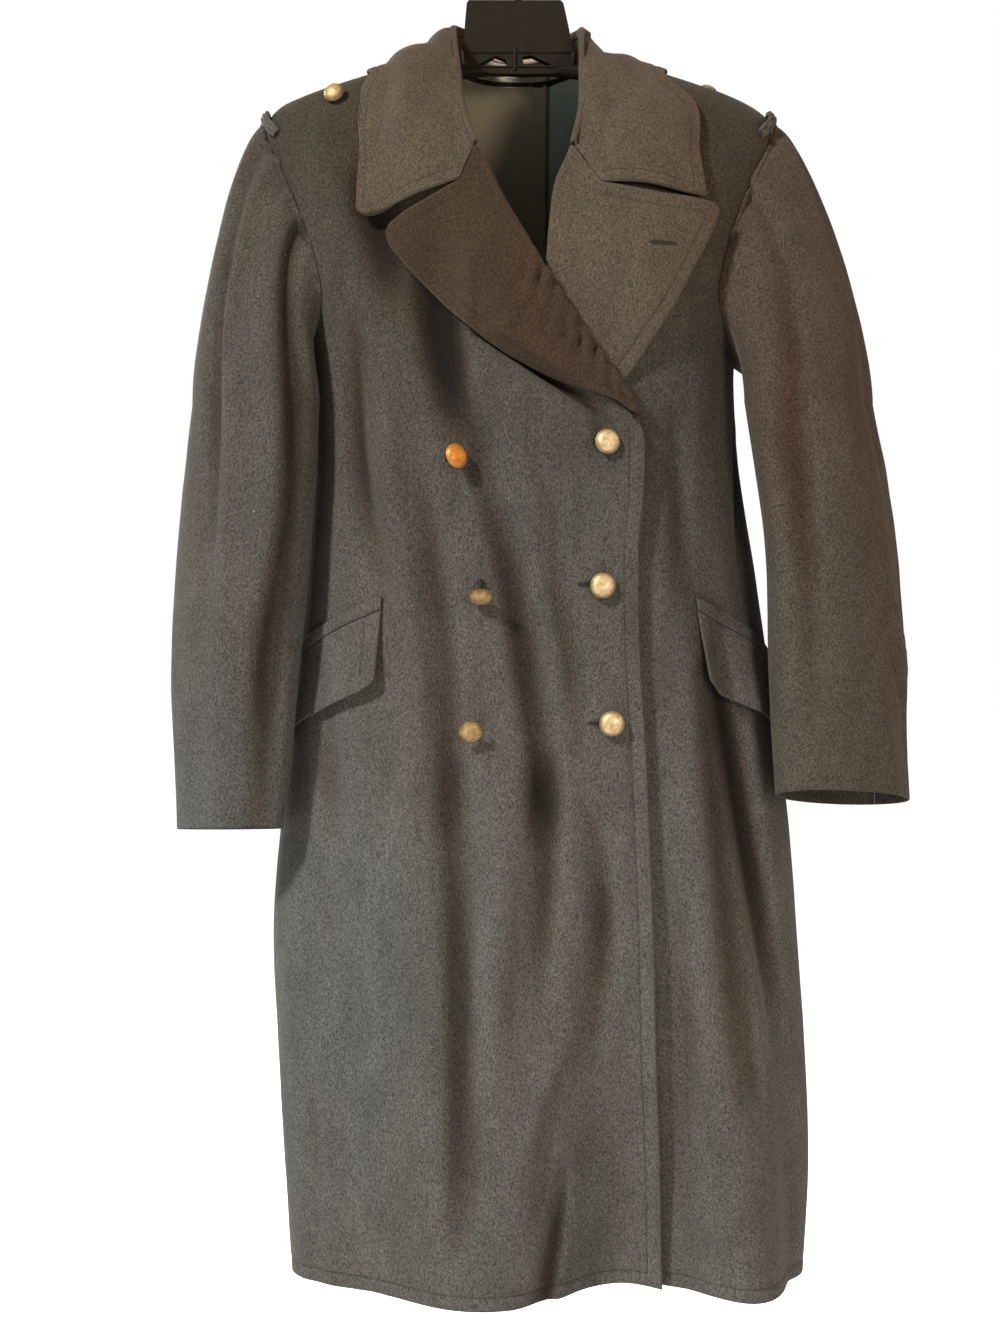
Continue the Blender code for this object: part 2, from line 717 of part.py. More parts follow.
def lapel_grid(side):
    """Places (x, drop, out) of a lapel's middle layer: flat strip, roll, then the leaf."""
    shape = LAPELS[side]
    sign = 1 if side == "right" else -1
    drops = levels()
    drops = drops[(drops > 0.228) & (drops < 0.4741)]
    seam = lapping_x(drops) if side == "right" else under_x(drops)
    roll = np.stack([seam + sign * LAPEL_FLAT, drops], axis=-1)
    s, r = shares_of(roll), np.linspace(0, 1, 8)
    edge = along(shape["edge"], s)
    top = along(shape["top"], r, straight=True)
    bottom = roll[-1] * (1 - r[:, None]) + edge[-1] * r[:, None]
    leaf = coons(roll, edge, top, bottom, s, r)
    slope = unit(np.gradient(roll, axis=0))
    inward = np.stack([slope[:, 1], -slope[:, 0]], axis=-1)
    inward *= np.sign(inward[:, :1]) * sign
    middle = -CLOTH / 2
    seam_side = roll - [sign * (LAPEL_FLAT - 2.5 * SEAM_GAP), 0]
    columns = [(seam_side, middle), (roll, middle)]
    for turn in (0.2, 0.4, 0.6, 0.8):
        bend = roll + inward * LAPEL_ROLL_RADIUS * math.sin(math.pi * turn)
        columns.append((bend, middle + LAPEL_ROLL_RADIUS * (1 - math.cos(math.pi * turn))))
    strip = [np.concatenate([place, np.full((len(s), 1), out)], axis=1) for place, out in columns]
    x, drop = leaf[..., 0], leaf[..., 1]
    lift = LAPEL_LIFT * step(r / 0.6)[None] * step((s[:, None] * -1 + 1.0) / 0.35)
    if side == "left":
        lift = lift * step((x - lapping_x(drop) - 0.02) / 0.04)
    leaf = np.concatenate([leaf, (middle + 2 * LAPEL_ROLL_RADIUS + lift)[..., None]], axis=2)
    return np.concatenate([np.stack(strip, axis=1), leaf], axis=1)


def lapel(side):
    grid = lapel_grid(side)
    x, drop, out = grid[..., 0], grid[..., 1], grid[..., 2]
    if side == "left":
        out = out + under_out(x, drop)
    middle_wall(f"lapel_{side}", front_point(x, drop, out), flip=side == "left")


def neck_seam(shares):
    """The stand's foot: up one front's neck edge, round the back's neckline and down the other."""
    drops = np.linspace(0.2265, NECK_DROP + 0.002, 12)
    inside = CLOTH / 2 + SEAM_GAP * (2 + 6 * step((0.150 - drops) / 0.025))
    right = front_point(lapping_x(drops) + inside, drops, -CLOTH / 2)
    left = front_point(under_x(drops) - inside, drops, -CLOTH / 2)[::-1]
    turn = np.linspace(1.5 * math.pi, 0.5 * math.pi, 25)
    round_back = cloth_point(turn, NECK_DROP + neck_dip(turn), -CLOTH / 2)
    inward = unit(np.array([0.0, 0.010, 0.0]) - round_back * [1, 1, 0])
    clear = CLOTH / 2 + SEAM_GAP * (2 + 8 * np.sin(turn) ** 6)
    round_back = round_back + inward * clear[:, None]
    knots = np.concatenate([right[:-1], round_back, left[1:]])
    knot_shares = shares_of(knots)
    return np.stack([np.interp(shares, knot_shares, knots[:, i]) for i in range(3)], axis=-1)


def collar_grids():
    """The middle layers of the stand and of the fall, a column for each place round the neck."""
    shares = np.linspace(0, 1, 29)
    fold = along(COLLAR_FOLD, shares, ("x", "y", "drop")) * [1, 1, -1]
    foot = neck_seam(shares)
    edge_places = shares_of(np.stack([COLLAR_FOLD[name] for name in ("x", "y", "drop")], axis=-1))
    face_angle = np.stack([angle_at(x, drop, face) for x, drop, face in
                           zip(COLLAR_EDGE["x"], COLLAR_EDGE["drop"], COLLAR_EDGE["face"])])
    face_angle = np.where(face_angle > 0.9 * math.pi, face_angle - 2 * math.pi, face_angle)
    middle = len(face_angle) // 2
    face_angle[middle + 1:] -= np.where(face_angle[middle + 1:] > 0, 2 * math.pi, 0)
    edge_angle = smooth(edge_places, face_angle, shares)
    edge_drop = smooth(edge_places, COLLAR_EDGE["drop"], shares)
    edge = keep_off(cloth_point(edge_angle, edge_drop, COLLAR_OUT), COLLAR_OUT)

    tangent = unit(np.gradient(fold, axis=0))
    crest = fold - (foot + edge) / 2
    crest = unit(crest - tangent * (crest * tangent).sum(axis=1, keepdims=True))
    outward = unit(np.cross(tangent, crest))
    outward *= np.sign((outward * (edge - foot)).sum(axis=1, keepdims=True))
    centre = fold - crest * COLLAR_ROLL_RADIUS
    rolled = []
    for turn in (0.0, 0.25, 0.5, 0.75, 1.0):
        across = -math.cos(math.pi * turn) * outward + math.sin(math.pi * turn) * crest
        rolled.append(centre + across * COLLAR_ROLL_RADIUS)
    height = np.linalg.norm(rolled[0] - foot, axis=1, keepdims=True)
    split = rolled[0] + (foot - rolled[0]) * 0.14
    stand_top = split + (foot - split) * SEAM_GAP * 7 / (0.86 * height)
    stand = np.stack([stand_top * (1 - t) + foot * t for t in np.linspace(0, 1, 5)])

    r = np.linspace(0, 1, 9)
    ends = []
    for side, start in (("right", rolled[-1][0]), ("left", rolled[-1][-1])):
        places = along(COLLAR_ENDS[side], r, straight=True)
        out = -CLOTH / 2 + 2 * LAPEL_ROLL_RADIUS + LAPEL_LIFT * step(r / 0.6)
        end = front_point(places[:, 0], places[:, 1], out)
        end[0] = start
        ends.append(end)
    edge[0], edge[-1] = ends[0][-1], ends[1][-1]
    leaf = coons(rolled[-1], edge, ends[0], ends[1], shares, r)
    bulge = COLLAR_BULGE * np.sin(math.pi * r)[None, :, None] * step(np.minimum(shares, 1 - shares) / 0.12)[:, None, None]
    beside = step((np.minimum(shares, 1 - shares) - 0.14) / 0.14)[:, None, None]
    leaf = leaf + outward[:, None] * bulge
    leaf = leaf + crest[:, None] * COLLAR_RISE * np.sin(math.pi * r)[None, :, None] ** 2 * beside
    leaf[1:-1, 1:] = keep_off(leaf[1:-1, 1:], CLOTH / 2 + COLLAR_CLEAR)
    fall = np.concatenate([np.stack([split, *rolled[:-1]], axis=1), leaf], axis=1)
    return stand, fall.transpose(1, 0, 2)


def collar():
    stand, fall = collar_grids()
    middle_wall("collar_stand", stand)
    middle_wall("collar_fall", fall)
    PANELS["collar_stand"] = {"middle": stand}


def sleeve(side):
    sign = -1 if side == "right" else 1
    drops = levels()
    drops = drops[(drops > SHOULDER_DROP - 0.001) & (drops < UNDERARM_DROP + 0.001)]
    front = np.radians(smooth(ARMHOLE["drop"], ARMHOLE["front"], drops))
    back = math.pi - np.radians(smooth(ARMHOLE["drop"], ARMHOLE["back"], drops))
    angles = sign * np.concatenate([front, back[-2:0:-1]])
    drops = np.concatenate([drops, drops[-2:0:-1]])
    armhole = cloth_point(angles, drops, -CLOTH / 2)
    outside = cloth_point(angles, drops, 0.0) - armhole
    tangent = unit(np.roll(armhole, -1, axis=0) - np.roll(armhole, 1, axis=0))
    into = np.cross(tangent, unit(outside))
    into *= np.sign((into * (armhole.mean(axis=0) - armhole)).sum(axis=1, keepdims=True))
    armhole = armhole + unit(into) * 2 * SEAM_GAP

    half = len(front)
    lengths = np.linalg.norm(np.roll(armhole, -1, axis=0) - armhole, axis=1)
    down_front = np.concatenate([[0], np.cumsum(lengths[: half - 1])])
    up_back = np.concatenate([[0], np.cumsum(lengths[half - 1:])])
    turn = np.concatenate([down_front / down_front[-1], 1 + (up_back / up_back[-1])[1:-1]]) * math.pi

    rings = SLEEVES[side]
    first = sleeve_ring(rings, rings["drop"][0], turn, sign)
    span = np.linalg.norm(first - armhole, axis=1, keepdims=True)
    high = (1 + np.cos(turn)) / 2
    leave = np.stack([
        sign * (SLEEVE_HEAD_OUT * high + SLEEVE_UNDER_OUT * (1 - high)),
        -SLEEVE_HEAD_FRONT * np.sin(turn),
        -SLEEVE_HEAD_DOWN - SLEEVE_UNDER_DOWN * (1 - high),
    ], axis=-1) * span
    arrive = np.array([0, 0, -0.8]) * span
    rows = []
    for t in SLEEVE_HEAD_SHARES:
        rows.append(
            armhole * (2 * t**3 - 3 * t**2 + 1) + leave * (t**3 - 2 * t**2 + t)
            + first * (3 * t**2 - 2 * t**3) + arrive * (t**3 - t**2)
        )
    for drop in np.linspace(rings["drop"][0], rings["drop"][-1], 8):
        rows.append(sleeve_ring(rings, drop, turn, sign))
    middle = np.stack(rows)
    middle[1:] = keep_off(middle[1:], CLOTH / 2 + SLEEVE_CLEAR)
    normals = grid_normals(middle, closed=True)
    centre = middle.mean(axis=1, keepdims=True)
    if (normals * (middle - centre)).sum(axis=2).mean() < 0:
        middle, outside, turn = middle[:, ::-1], outside[::-1], turn[::-1]
        normals = grid_normals(middle, closed=True)
    outer, inner = middle + normals * CLOTH / 2, middle - normals * CLOTH / 2
    outer[0], inner[0] = middle[0] + outside, middle[0] - outside
    first, last = sorted(int(np.argmin(np.abs(np.degrees(turn) - seam))) for seam in SLEEVE_SEAMS)
    upper = np.arange(last, first + len(turn) + 1) % len(turn)
    under = np.arange(first, last + 1)
    wall(f"sleeve_{side}", between_seams(outer[:, upper]), between_seams(inner[:, upper]), WOOL)
    wall(f"under_sleeve_{side}", between_seams(outer[:, under]), between_seams(inner[:, under]), WOOL)


def between_seams(grid):
    """A sleeve's columns from one seam to the other, drawn in at each, most at the curved head."""
    gap = SEAM_GAP * np.where(np.arange(len(grid)) < 3, SLEEVE_HEAD_GAP, 0.5)[:, None, None]
    start = grid[:, :1] + unit(grid[:, 1:2] - grid[:, :1]) * gap
    end = grid[:, -1:] + unit(grid[:, -2:-1] - grid[:, -1:]) * gap
    return np.concatenate([start, grid[:, 1:-1], end], axis=1)


def sleeve_ring(rings, drop, turn, sign):
    """One ring of a sleeve: turn is 0 outside, 90 degrees in front and 180 beside the body."""
    x, y, long, short, lean, tip = (
        smooth(rings["drop"], rings[name], drop) for name in ("x", "y", "long", "short", "turn", "tip")
    )
    lean = math.radians(float(lean))
    place = turn + math.radians(SLEEVE_TWIST) * (1 - np.cos(turn)) / 2
    way = place - (math.pi - lean)
    axis = np.array([-sign * math.cos(lean), -math.sin(lean)])
    cross = np.array([-sign * math.sin(lean), math.cos(lean)])
    plan = np.cos(way)[:, None] * axis * long + np.sin(way)[:, None] * cross * short
    return points(x + plan[:, 0], y + plan[:, 1], -drop - tip * plan[:, 1])


def pocket(side):
    """A welt and the flap below it, both lying on the front."""
    shape = POCKETS[side]
    sign = shape["sign"]
    panel = f"front_{side}"
    front_x, front_drop = shape["front"]
    front_angle = angle_at(front_x, front_drop)
    rear_angle, rear_drop = math.radians(shape["rear_angle"]), shape["rear_drop"]
    share = np.linspace(0, 1, 11)
    angle = front_angle + (rear_angle - front_angle) * share
    top = front_drop + (rear_drop - front_drop) * share
    depth = FLAP_DEPTH_FRONT + (FLAP_DEPTH_REAR - FLAP_DEPTH_FRONT) * share
    depth = depth - FLAP_CORNER * (1 - np.sqrt(1 - np.clip(1 - share / 0.12, 0, 1) ** 2))
    down = np.linspace(0, 1, 6)[:, None]
    angles = np.repeat(angle[None], 6, axis=0)
    drops = top + depth * down
    out = FLAP_GAP + FLAP_LIFT * down**1.5 * (1 - 0.6 * share)
    lay_on(f"flap_{side}", panel, angles, drops, out, sign)
    down = np.linspace(0, 1, 3)[:, None]
    drops = top - SEAM_GAP - WELT_HEIGHT * (1 - down)
    lay_on(f"welt_{side}", panel, np.repeat(angle[None], 3, axis=0), drops, FLAP_GAP, sign)


def lay_on(name, panel, angles, drops, out, sign, thickness=CLOTH, colour=WOOL):
    """A thin piece over a panel's own points."""
    if sign < 0:
        angles, drops = angles[:, ::-1], drops[:, ::-1]
        out = out[:, ::-1] if np.ndim(out) else out
    inner = place_on(panel, angles, drops, out)
    outer = place_on(panel, angles, drops, out + thickness)
    return wall(name, outer, inner, colour)


def shoulder_loop(side):
    """A narrow strap that arches over the shoulder's end beside the sleeve."""
    share = np.linspace(-1, 1, 11)
    angle = math.radians(LOOPS[side]) + math.radians(LOOP_SPREAD) * share
    drop = LOOP_DROP + LOOP_FALL * share**2
    line = cloth_point(angle, drop, 0.0014 + LOOP_ARCH * (1 - share**4))
    across = unit(np.cross(base_normal(angle, drop), unit(np.gradient(line, axis=0))))
    middle = np.stack([line - across * LOOP_WIDTH / 2, line + across * LOOP_WIDTH / 2])
    middle_wall(f"shoulder_loop_{side}", middle, thickness=0.0018)


def lathe(name, profile, place, axis, colour, roughness, metallic, steps=14):
    """A solid turned about an axis from (radius, height) rows that start and end on it."""
    vertices, faces = [], []
    vertices.append((0, 0, profile[0][1]))
    for radius, height in profile[1:-1]:
        for i in range(steps):
            turn = 2 * math.pi * i / steps
            vertices.append((radius * math.cos(turn), radius * math.sin(turn), height))
    vertices.append((0, 0, profile[-1][1]))
    for i in range(steps):
        j = (i + 1) % steps
        faces.append((0, 1 + j, 1 + i))
        for ring in range(len(profile) - 3):
            a, b = 1 + ring * steps + i, 1 + ring * steps + j
            faces.append((a, b, b + steps, a + steps))
        a, b = 1 + (len(profile) - 3) * steps + i, 1 + (len(profile) - 3) * steps + j
        faces.append((a, b, len(vertices) - 1))
    turned = Vector((0, 0, 1)).rotation_difference(Vector(axis)).to_matrix().to_4x4()
    moved = Matrix.Translation(Vector(place)) @ turned
    mesh = bpy.data.meshes.new(name)
    mesh.from_pydata([tuple(moved @ Vector(vertex)) for vertex in vertices], [], faces)
    mesh.shade_smooth()
    mesh.set_sharp_from_angle(angle=math.radians(40))
    return new_object(name, mesh, colour, roughness, metallic)


def button(name, foot, axis, shank, radius):
    """A domed button on a shank: foot is where the shank ends, just off the cloth."""
    dome = [
        (0.0, 0.0),
        (SHANK_RADIUS, 0.0),
        (SHANK_RADIUS, shank),
        (radius * 0.90, shank + 0.0002),
        (radius, shank + 0.0011),
        (radius * 0.93, shank + 0.0024),
        (radius * 0.70, shank + 0.0046),
        (radius * 0.38, shank + 0.0058),
        (0.0, shank + 0.0062),
    ]
    lathe(name, dome, foot, axis, BRASS, 0.4, 1.0)


def place_button(name, panel, angle, drop, aside, droop, shank, radius):
    """Seats a button on a panel, its face turned aside and down (or up) from the cloth's normal."""
    normal = unit(place_on(panel, angle, drop, 0.01) - place_on(panel, angle, drop, 0.0))
    axis = Vector(normal)
    axis.rotate(Matrix.Rotation(math.radians(aside), 3, "Z"))
    axis.rotate(Matrix.Rotation(math.radians(-droop), 3, "X"))
    lean = math.sin(axis.angle(Vector(normal)))
    foot = place_on(panel, angle, drop, BUTTON_GAP + SHANK_RADIUS * lean)
    button(name, foot, axis, shank, radius)


def buttons():
    for name, shape in BUTTONS.items():
        angle = angle_at(shape["x"], shape["drop"])
        turns = shape["aside"], shape["droop"]
        place_button(name, "front_right", angle, shape["drop"], *turns, shape["shank"], BUTTON_RADIUS)
    for name, shape in SHOULDER_BUTTONS.items():
        angle = math.radians(shape["angle"])
        turns = shape["aside"], shape["droop"]
        radius = SHOULDER_BUTTON_RADIUS
        place_button(name, shape["panel"], angle, shape["drop"], *turns, shape["shank"], radius)


def lining():
    """The back's lining as far as the open front shows it, with its middle pleat."""
    angles = np.linspace(math.pi - 1.05, math.pi + 1.05, 15)
    shares = np.linspace(0, 1, 9)[:, None]
    start = NECK_DROP + 0.010 + neck_dip(angles)
    drops = start + (LINING_FOOT_DROP - start) * shares
    angles = np.repeat(angles[None], 9, axis=0)
    x = base_point(angles, drops)[..., 0]
    pleat = PLEAT_DEPTH * np.clip(1 - np.abs(x - PLEAT_X) / PLEAT_WIDTH, 0, 1)
    out = -CLOTH - LINING_SEWN - (LINING_GAP - LINING_SEWN) * step(shares / 0.15) - pleat
    outer = cloth_point(angles, drops, out)
    inner = cloth_point(angles, drops, out - LINING)
    wall("lining_back", outer, inner, LINING_COLOUR)


def stand_patch(name, first, last, top, bottom, out, thickness, colour):
    """A label on the stand's inner face, from a run of its own columns."""
    stand = PANELS["collar_stand"]["middle"]
    normals = grid_normals(stand)
    rows = np.linspace(0, 1, 3)
    columns = np.linspace(first, last, 2 * int(round(last - first)) + 1)
    grid, lean = [], []
    for row in rows:
        down = top + (bottom - top) * row
        low = int(min(down, stand.shape[0] - 1.001))
        for column in columns:
            left = int(min(column, stand.shape[1] - 1.001))
            for values, into in ((stand, grid), (normals, lean)):
                a = values[low, left] * (1 - column + left) + values[low, left + 1] * (column - left)
                b = values[low + 1, left] * (1 - column + left) + values[low + 1, left + 1] * (column - left)
                into.append(a * (1 - down + low) + b * (down - low))
    grid = np.array(grid).reshape(3, len(columns), 3)
    lean = np.array(lean).reshape(3, len(columns), 3)
    near = grid - lean * (CLOTH / 2 + out)
    far = grid - lean * (CLOTH / 2 + out + thickness)
    wall(name, near, far, colour)


def tube(name, path, radii, sides=10, squash=None):
    """A bar along a path in the XZ plane, each place with its half height and half depth."""
    path = np.array(path, float)
    tangents = unit(np.gradient(path, axis=0))
    across = np.cross(tangents, [0, 1, 0])
    vertices, faces = [], []
    for place, up, (high, deep) in zip(path, across, radii):
        for i in range(sides):
            turn = 2 * math.pi * i / sides
            vertices.append(place + up * high * math.cos(turn) + np.array([0, deep, 0]) * math.sin(turn))
    for ring in range(len(path) - 1):
        for i in range(sides):
            a, b = ring * sides + i, ring * sides + (i + 1) % sides
            faces.append((a, b, b + sides, a + sides))
    faces.append(tuple(range(sides))[::-1])
    faces.append(tuple(range((len(path) - 1) * sides, len(path) * sides)))
    mesh = bpy.data.meshes.new(name)
    mesh.from_pydata([tuple(v) for v in vertices], [], faces)
    mesh.update()
    return mesh


def slab(name, outline, half_depth):
    """A flat plate in the XZ plane from its outline, counterclockwise as seen from the front."""
    count = len(outline)
    vertices = [(x, -half_depth, z) for x, z in outline] + [(x, half_depth, z) for x, z in outline]
    faces = [tuple(range(count)), tuple(range(2 * count - 1, count - 1, -1))]
    for i in range(count):
        j = (i + 1) % count
        faces.append((i, count + i, count + j, j))
    mesh = bpy.data.meshes.new(name)
    mesh.from_pydata(vertices, [], faces)
    mesh.update()
    return mesh


def helper(mesh):
    made = bpy.data.objects.new(mesh.name, mesh)
    CUTTERS.objects.link(made)
    made.hide_render = True
    made.display_type = "WIRE"
    return made


def shoulder_arm(sign):
    """One arm of the hanger: its crest follows the inside of the shoulder."""
    x = np.linspace(0.030, HANGER_ARM_END, 11)
    column = "left" if sign < 0 else "right"
    rings = np.linspace(NECK_DROP, 0.19, 60)
    crest = np.interp(x, reach(rings, column), rings)
    slope = np.gradient(crest, x)
    half_high = np.interp(x, (0.03, 0.09, 0.20, HANGER_ARM_END), (0.006, 0.009, 0.009, 0.006))
    half_deep = np.interp(x, (0.03, 0.09, 0.19, HANGER_ARM_END), (0.0055, 0.008, 0.015, 0.012))
    lower = (half_high + CLOTH + ARM_GAP) * np.sqrt(1 + slope**2)
    path = points(sign * x, 0, -crest - lower)
    return path, list(zip(half_high, half_deep))


def hanger():
    """Plate with two windows, arms and hook, moulded in one."""
    plate = helper(outward(slab("plate", HANGER_PLATE, HANGER_THICKNESS / 2)))
    made = new_object("hanger", plate.data.copy(), BLACK_PLASTIC, 0.45)
    adders = []
    for sign, name in ((-1, "arm_right"), (1, "arm_left")):
        path, radii = shoulder_arm(sign)
        adders.append(helper(outward(tube(name, path, radii, sides=12))))
    arc = np.radians(np.linspace(-62, 172, 15))
    hook = [(0.0, 0, -0.070), (0.0, 0, -0.056), (0.0012, 0, -0.0475), (0.0052, 0, -0.0430)]
    middle = HOOK_INNER + HOOK_RADIUS
    hook += [(middle * math.cos(a), 0, middle * math.sin(a) - HOOK_INNER) for a in arc]
    hook.append((-middle - 0.0015, 0, -HOOK_INNER - 0.0010))
    adders.append(helper(outward(tube("hook", hook, [(HOOK_RADIUS, HOOK_RADIUS)] * len(hook)))))
    for adder in adders:
        join = made.modifiers.new(adder.name, "BOOLEAN")
        join.operation, join.solver, join.object = "UNION", "EXACT", adder
    for name, outline in HANGER_WINDOWS.items():
        cutter = helper(outward(slab(name, outline, HANGER_THICKNESS)))
        cut = made.modifiers.new(name, "BOOLEAN")
        cut.operation, cut.solver, cut.object = "DIFFERENCE", "EXACT", cutter
    bpy.data.objects.remove(plate)


def main():
    lapping_front()
    under_front()
    back_panel()
    lapel("right")
    lapel("left")
    collar()
    sleeve("right")
    sleeve("left")
    pocket("right")
    pocket("left")
    shoulder_loop("right")
    shoulder_loop("left")
    buttons()
    lining()
    stand_patch("neck_label", 11.5, 16.5, 0.2, 1.7, 0.0004, 0.0006, LABEL_COLOUR)
    stand_patch("size_tab", 13.45, 14.0, 2.3, 3.0, 0.0004, 0.0006, TAB_COLOUR)
    hanger()


for existing in list(bpy.data.objects):
    bpy.data.objects.remove(existing)
COLLECTION = bpy.data.collections.new("military greatcoat")
bpy.context.scene.collection.children.link(COLLECTION)
CUTTERS = bpy.data.collections.new("cutters")
bpy.context.scene.collection.children.link(CUTTERS)
main()
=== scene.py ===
"""Looks of a double-breasted military greatcoat on its moulded hanger.

Metres, in the frame of the solids: the origin is under the hook's crown, +Z up, the coat's front
faces -Y and the wearer's left is +X. A drop is a height below the origin. Every cloth piece is a
thin shell on the form of its solid, from the same named sizes, with the finer creases on it.
"""

import math
import bpy
import numpy as np
from mathutils import Matrix, Vector


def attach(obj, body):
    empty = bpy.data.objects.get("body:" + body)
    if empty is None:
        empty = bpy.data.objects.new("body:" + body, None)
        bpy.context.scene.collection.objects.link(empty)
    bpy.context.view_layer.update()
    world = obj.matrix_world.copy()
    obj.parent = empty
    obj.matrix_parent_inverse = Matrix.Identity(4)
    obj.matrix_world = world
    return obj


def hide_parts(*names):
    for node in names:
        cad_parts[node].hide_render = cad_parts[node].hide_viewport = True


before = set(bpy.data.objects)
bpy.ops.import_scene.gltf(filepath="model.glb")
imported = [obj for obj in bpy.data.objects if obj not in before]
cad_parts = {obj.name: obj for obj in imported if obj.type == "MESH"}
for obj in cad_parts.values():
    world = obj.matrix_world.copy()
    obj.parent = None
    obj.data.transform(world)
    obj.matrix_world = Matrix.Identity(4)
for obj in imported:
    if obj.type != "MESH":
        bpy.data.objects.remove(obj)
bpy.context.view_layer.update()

CLOTH = 0.0025
LINING = 0.0012
RIM_RADIUS = 0.0014
LEAST_RIM = 0.22
SPACING = 0.0052
SEAM_GAP = 0.0003

HEM_DROP = 1.277
NECK_DROP = 0.118
BACK_NECK_DROP = 0.124
SHOULDER_DROP = 0.178
UNDERARM_DROP = 0.412
RING_SQUARENESS = 2.2
FOLD_FADE = 0.07

# Distances in from an edge where a grid has extra lines: a plain rim, a stitched edge and a roll.
PLAIN = (0.0003, 0.0008, 0.0014)
STITCHED = (0.0003, 0.0008, 0.0014, 0.0040, 0.0080, 0.0110, 0.0122, 0.0130, 0.0138, 0.0150)
ROLLED = (0.0008, 0.0020, 0.0035)
STITCH_INSET = 0.013
STITCH_HALF = 0.0022
STITCH_SINK = 0.00070
STITCH_LENGTH = 0.0034


def table(columns, *rows):
    """Named columns from rows of numbers."""
    return {name: np.array(values, float) for name, values in zip(columns.split(), zip(*rows))}


def named(columns, **rows):
    """Named rows, each a dict of the named columns."""
    return {name: dict(zip(columns.split(), row)) for name, row in rows.items()}


# Rings of the body: how far each reaches to its sides, front and back at that drop.
RINGS = table(
    "drop left right front back",
    (0.118, 0.064, 0.064, 0.020, 0.046),
    (0.127, 0.105, 0.105, 0.038, 0.058),
    (0.137, 0.148, 0.148, 0.052, 0.066),
    (0.147, 0.180, 0.178, 0.061, 0.073),
    (0.157, 0.207, 0.205, 0.068, 0.079),
    (0.167, 0.228, 0.226, 0.074, 0.084),
    (0.178, 0.239, 0.240, 0.081, 0.089),
    (0.200, 0.247, 0.248, 0.092, 0.096),
    (0.230, 0.242, 0.243, 0.104, 0.101),
    (0.260, 0.236, 0.237, 0.112, 0.105),
    (0.300, 0.226, 0.228, 0.120, 0.108),
    (0.360, 0.211, 0.214, 0.127, 0.108),
    (0.420, 0.200, 0.206, 0.130, 0.105),
    (0.500, 0.198, 0.210, 0.132, 0.100),
    (0.620, 0.207, 0.228, 0.130, 0.094),
    (0.750, 0.217, 0.246, 0.126, 0.092),
    (0.850, 0.227, 0.258, 0.122, 0.094),
    (0.950, 0.234, 0.265, 0.118, 0.098),
    (1.050, 0.230, 0.272, 0.112, 0.102),
    (1.165, 0.224, 0.276, 0.102, 0.106),
    (1.277, 0.217, 0.272, 0.095, 0.110),
)

# Armhole seam: its angle from the front's middle, and from the back's middle.
ARMHOLE = table(
    "drop front back",
    (0.178, 90, 90),
    (0.183, 81, 82),
    (0.190, 76.5, 78),
    (0.205, 72.5, 74.5),
    (0.228, 67, 70.5),
    (0.260, 62, 67),
    (0.300, 58, 64),
    (0.340, 57, 63),
    (0.370, 60, 66),
    (0.392, 68, 73),
    (0.406, 79, 82),
    (0.412, 90, 90),
)

# Inner edge of the wearer's right front, which laps over: neck, lapel seam, then the front edge.
LAPPING_EDGE = table(
    "drop x",
    (0.118, -0.062),
    (0.145, -0.067),
    (0.180, -0.062),
    (0.215, -0.053),
    (0.2322, -0.046),
    (0.2492, -0.036),
    (0.2762, -0.024),
    (0.3152, -0.0015),
    (0.3474, 0.0175),
    (0.3892, 0.0440),
    (0.4402, 0.0800),
    (0.4600, 0.0930),
    (0.4740, 0.1020),
    (0.4860, 0.1105),
    (0.4960, 0.1112),
    (0.5330, 0.1107),
    (0.6000, 0.1058),
    (0.6760, 0.1067),
    (0.7850, 0.1136),
    (0.8940, 0.1188),
    (1.0350, 0.1245),
    (1.1750, 0.1317),
    (1.2770, 0.1350),
)

# Inner edge of the wearer's left front, which lies underneath.
UNDER_EDGE = table(
    "drop x",
    (0.118, 0.062),
    (0.145, 0.067),
    (0.180, 0.063),
    (0.215, 0.058),
    (0.2322, 0.0545),
    (0.2600, 0.0430),
    (0.3045, 0.0365),
    (0.3410, 0.0330),
    (0.3800, 0.0200),
    (0.4200, -0.0120),
    (0.4600, -0.0560),
    (0.4900, -0.0800),
    (0.6500, -0.0800),
    (1.2770, -0.0760),
)

# How far the under front sits inside the lapping one, and the drop where it does.
UNDER_DEPTH = table(
    "drop depth",
    (0.240, 0.0000),
    (0.300, 0.0050),
    (0.345, 0.0110),
    (0.500, 0.0110),
    (0.560, 0.0040),
    (1.000, 0.0060),
    (1.277, 0.0090),
)
UNDER_REACH = 0.020
UNDER_FADE = 0.090
EDGE_LIFT = 0.0056
EDGE_LIFT_WIDTH = 0.030

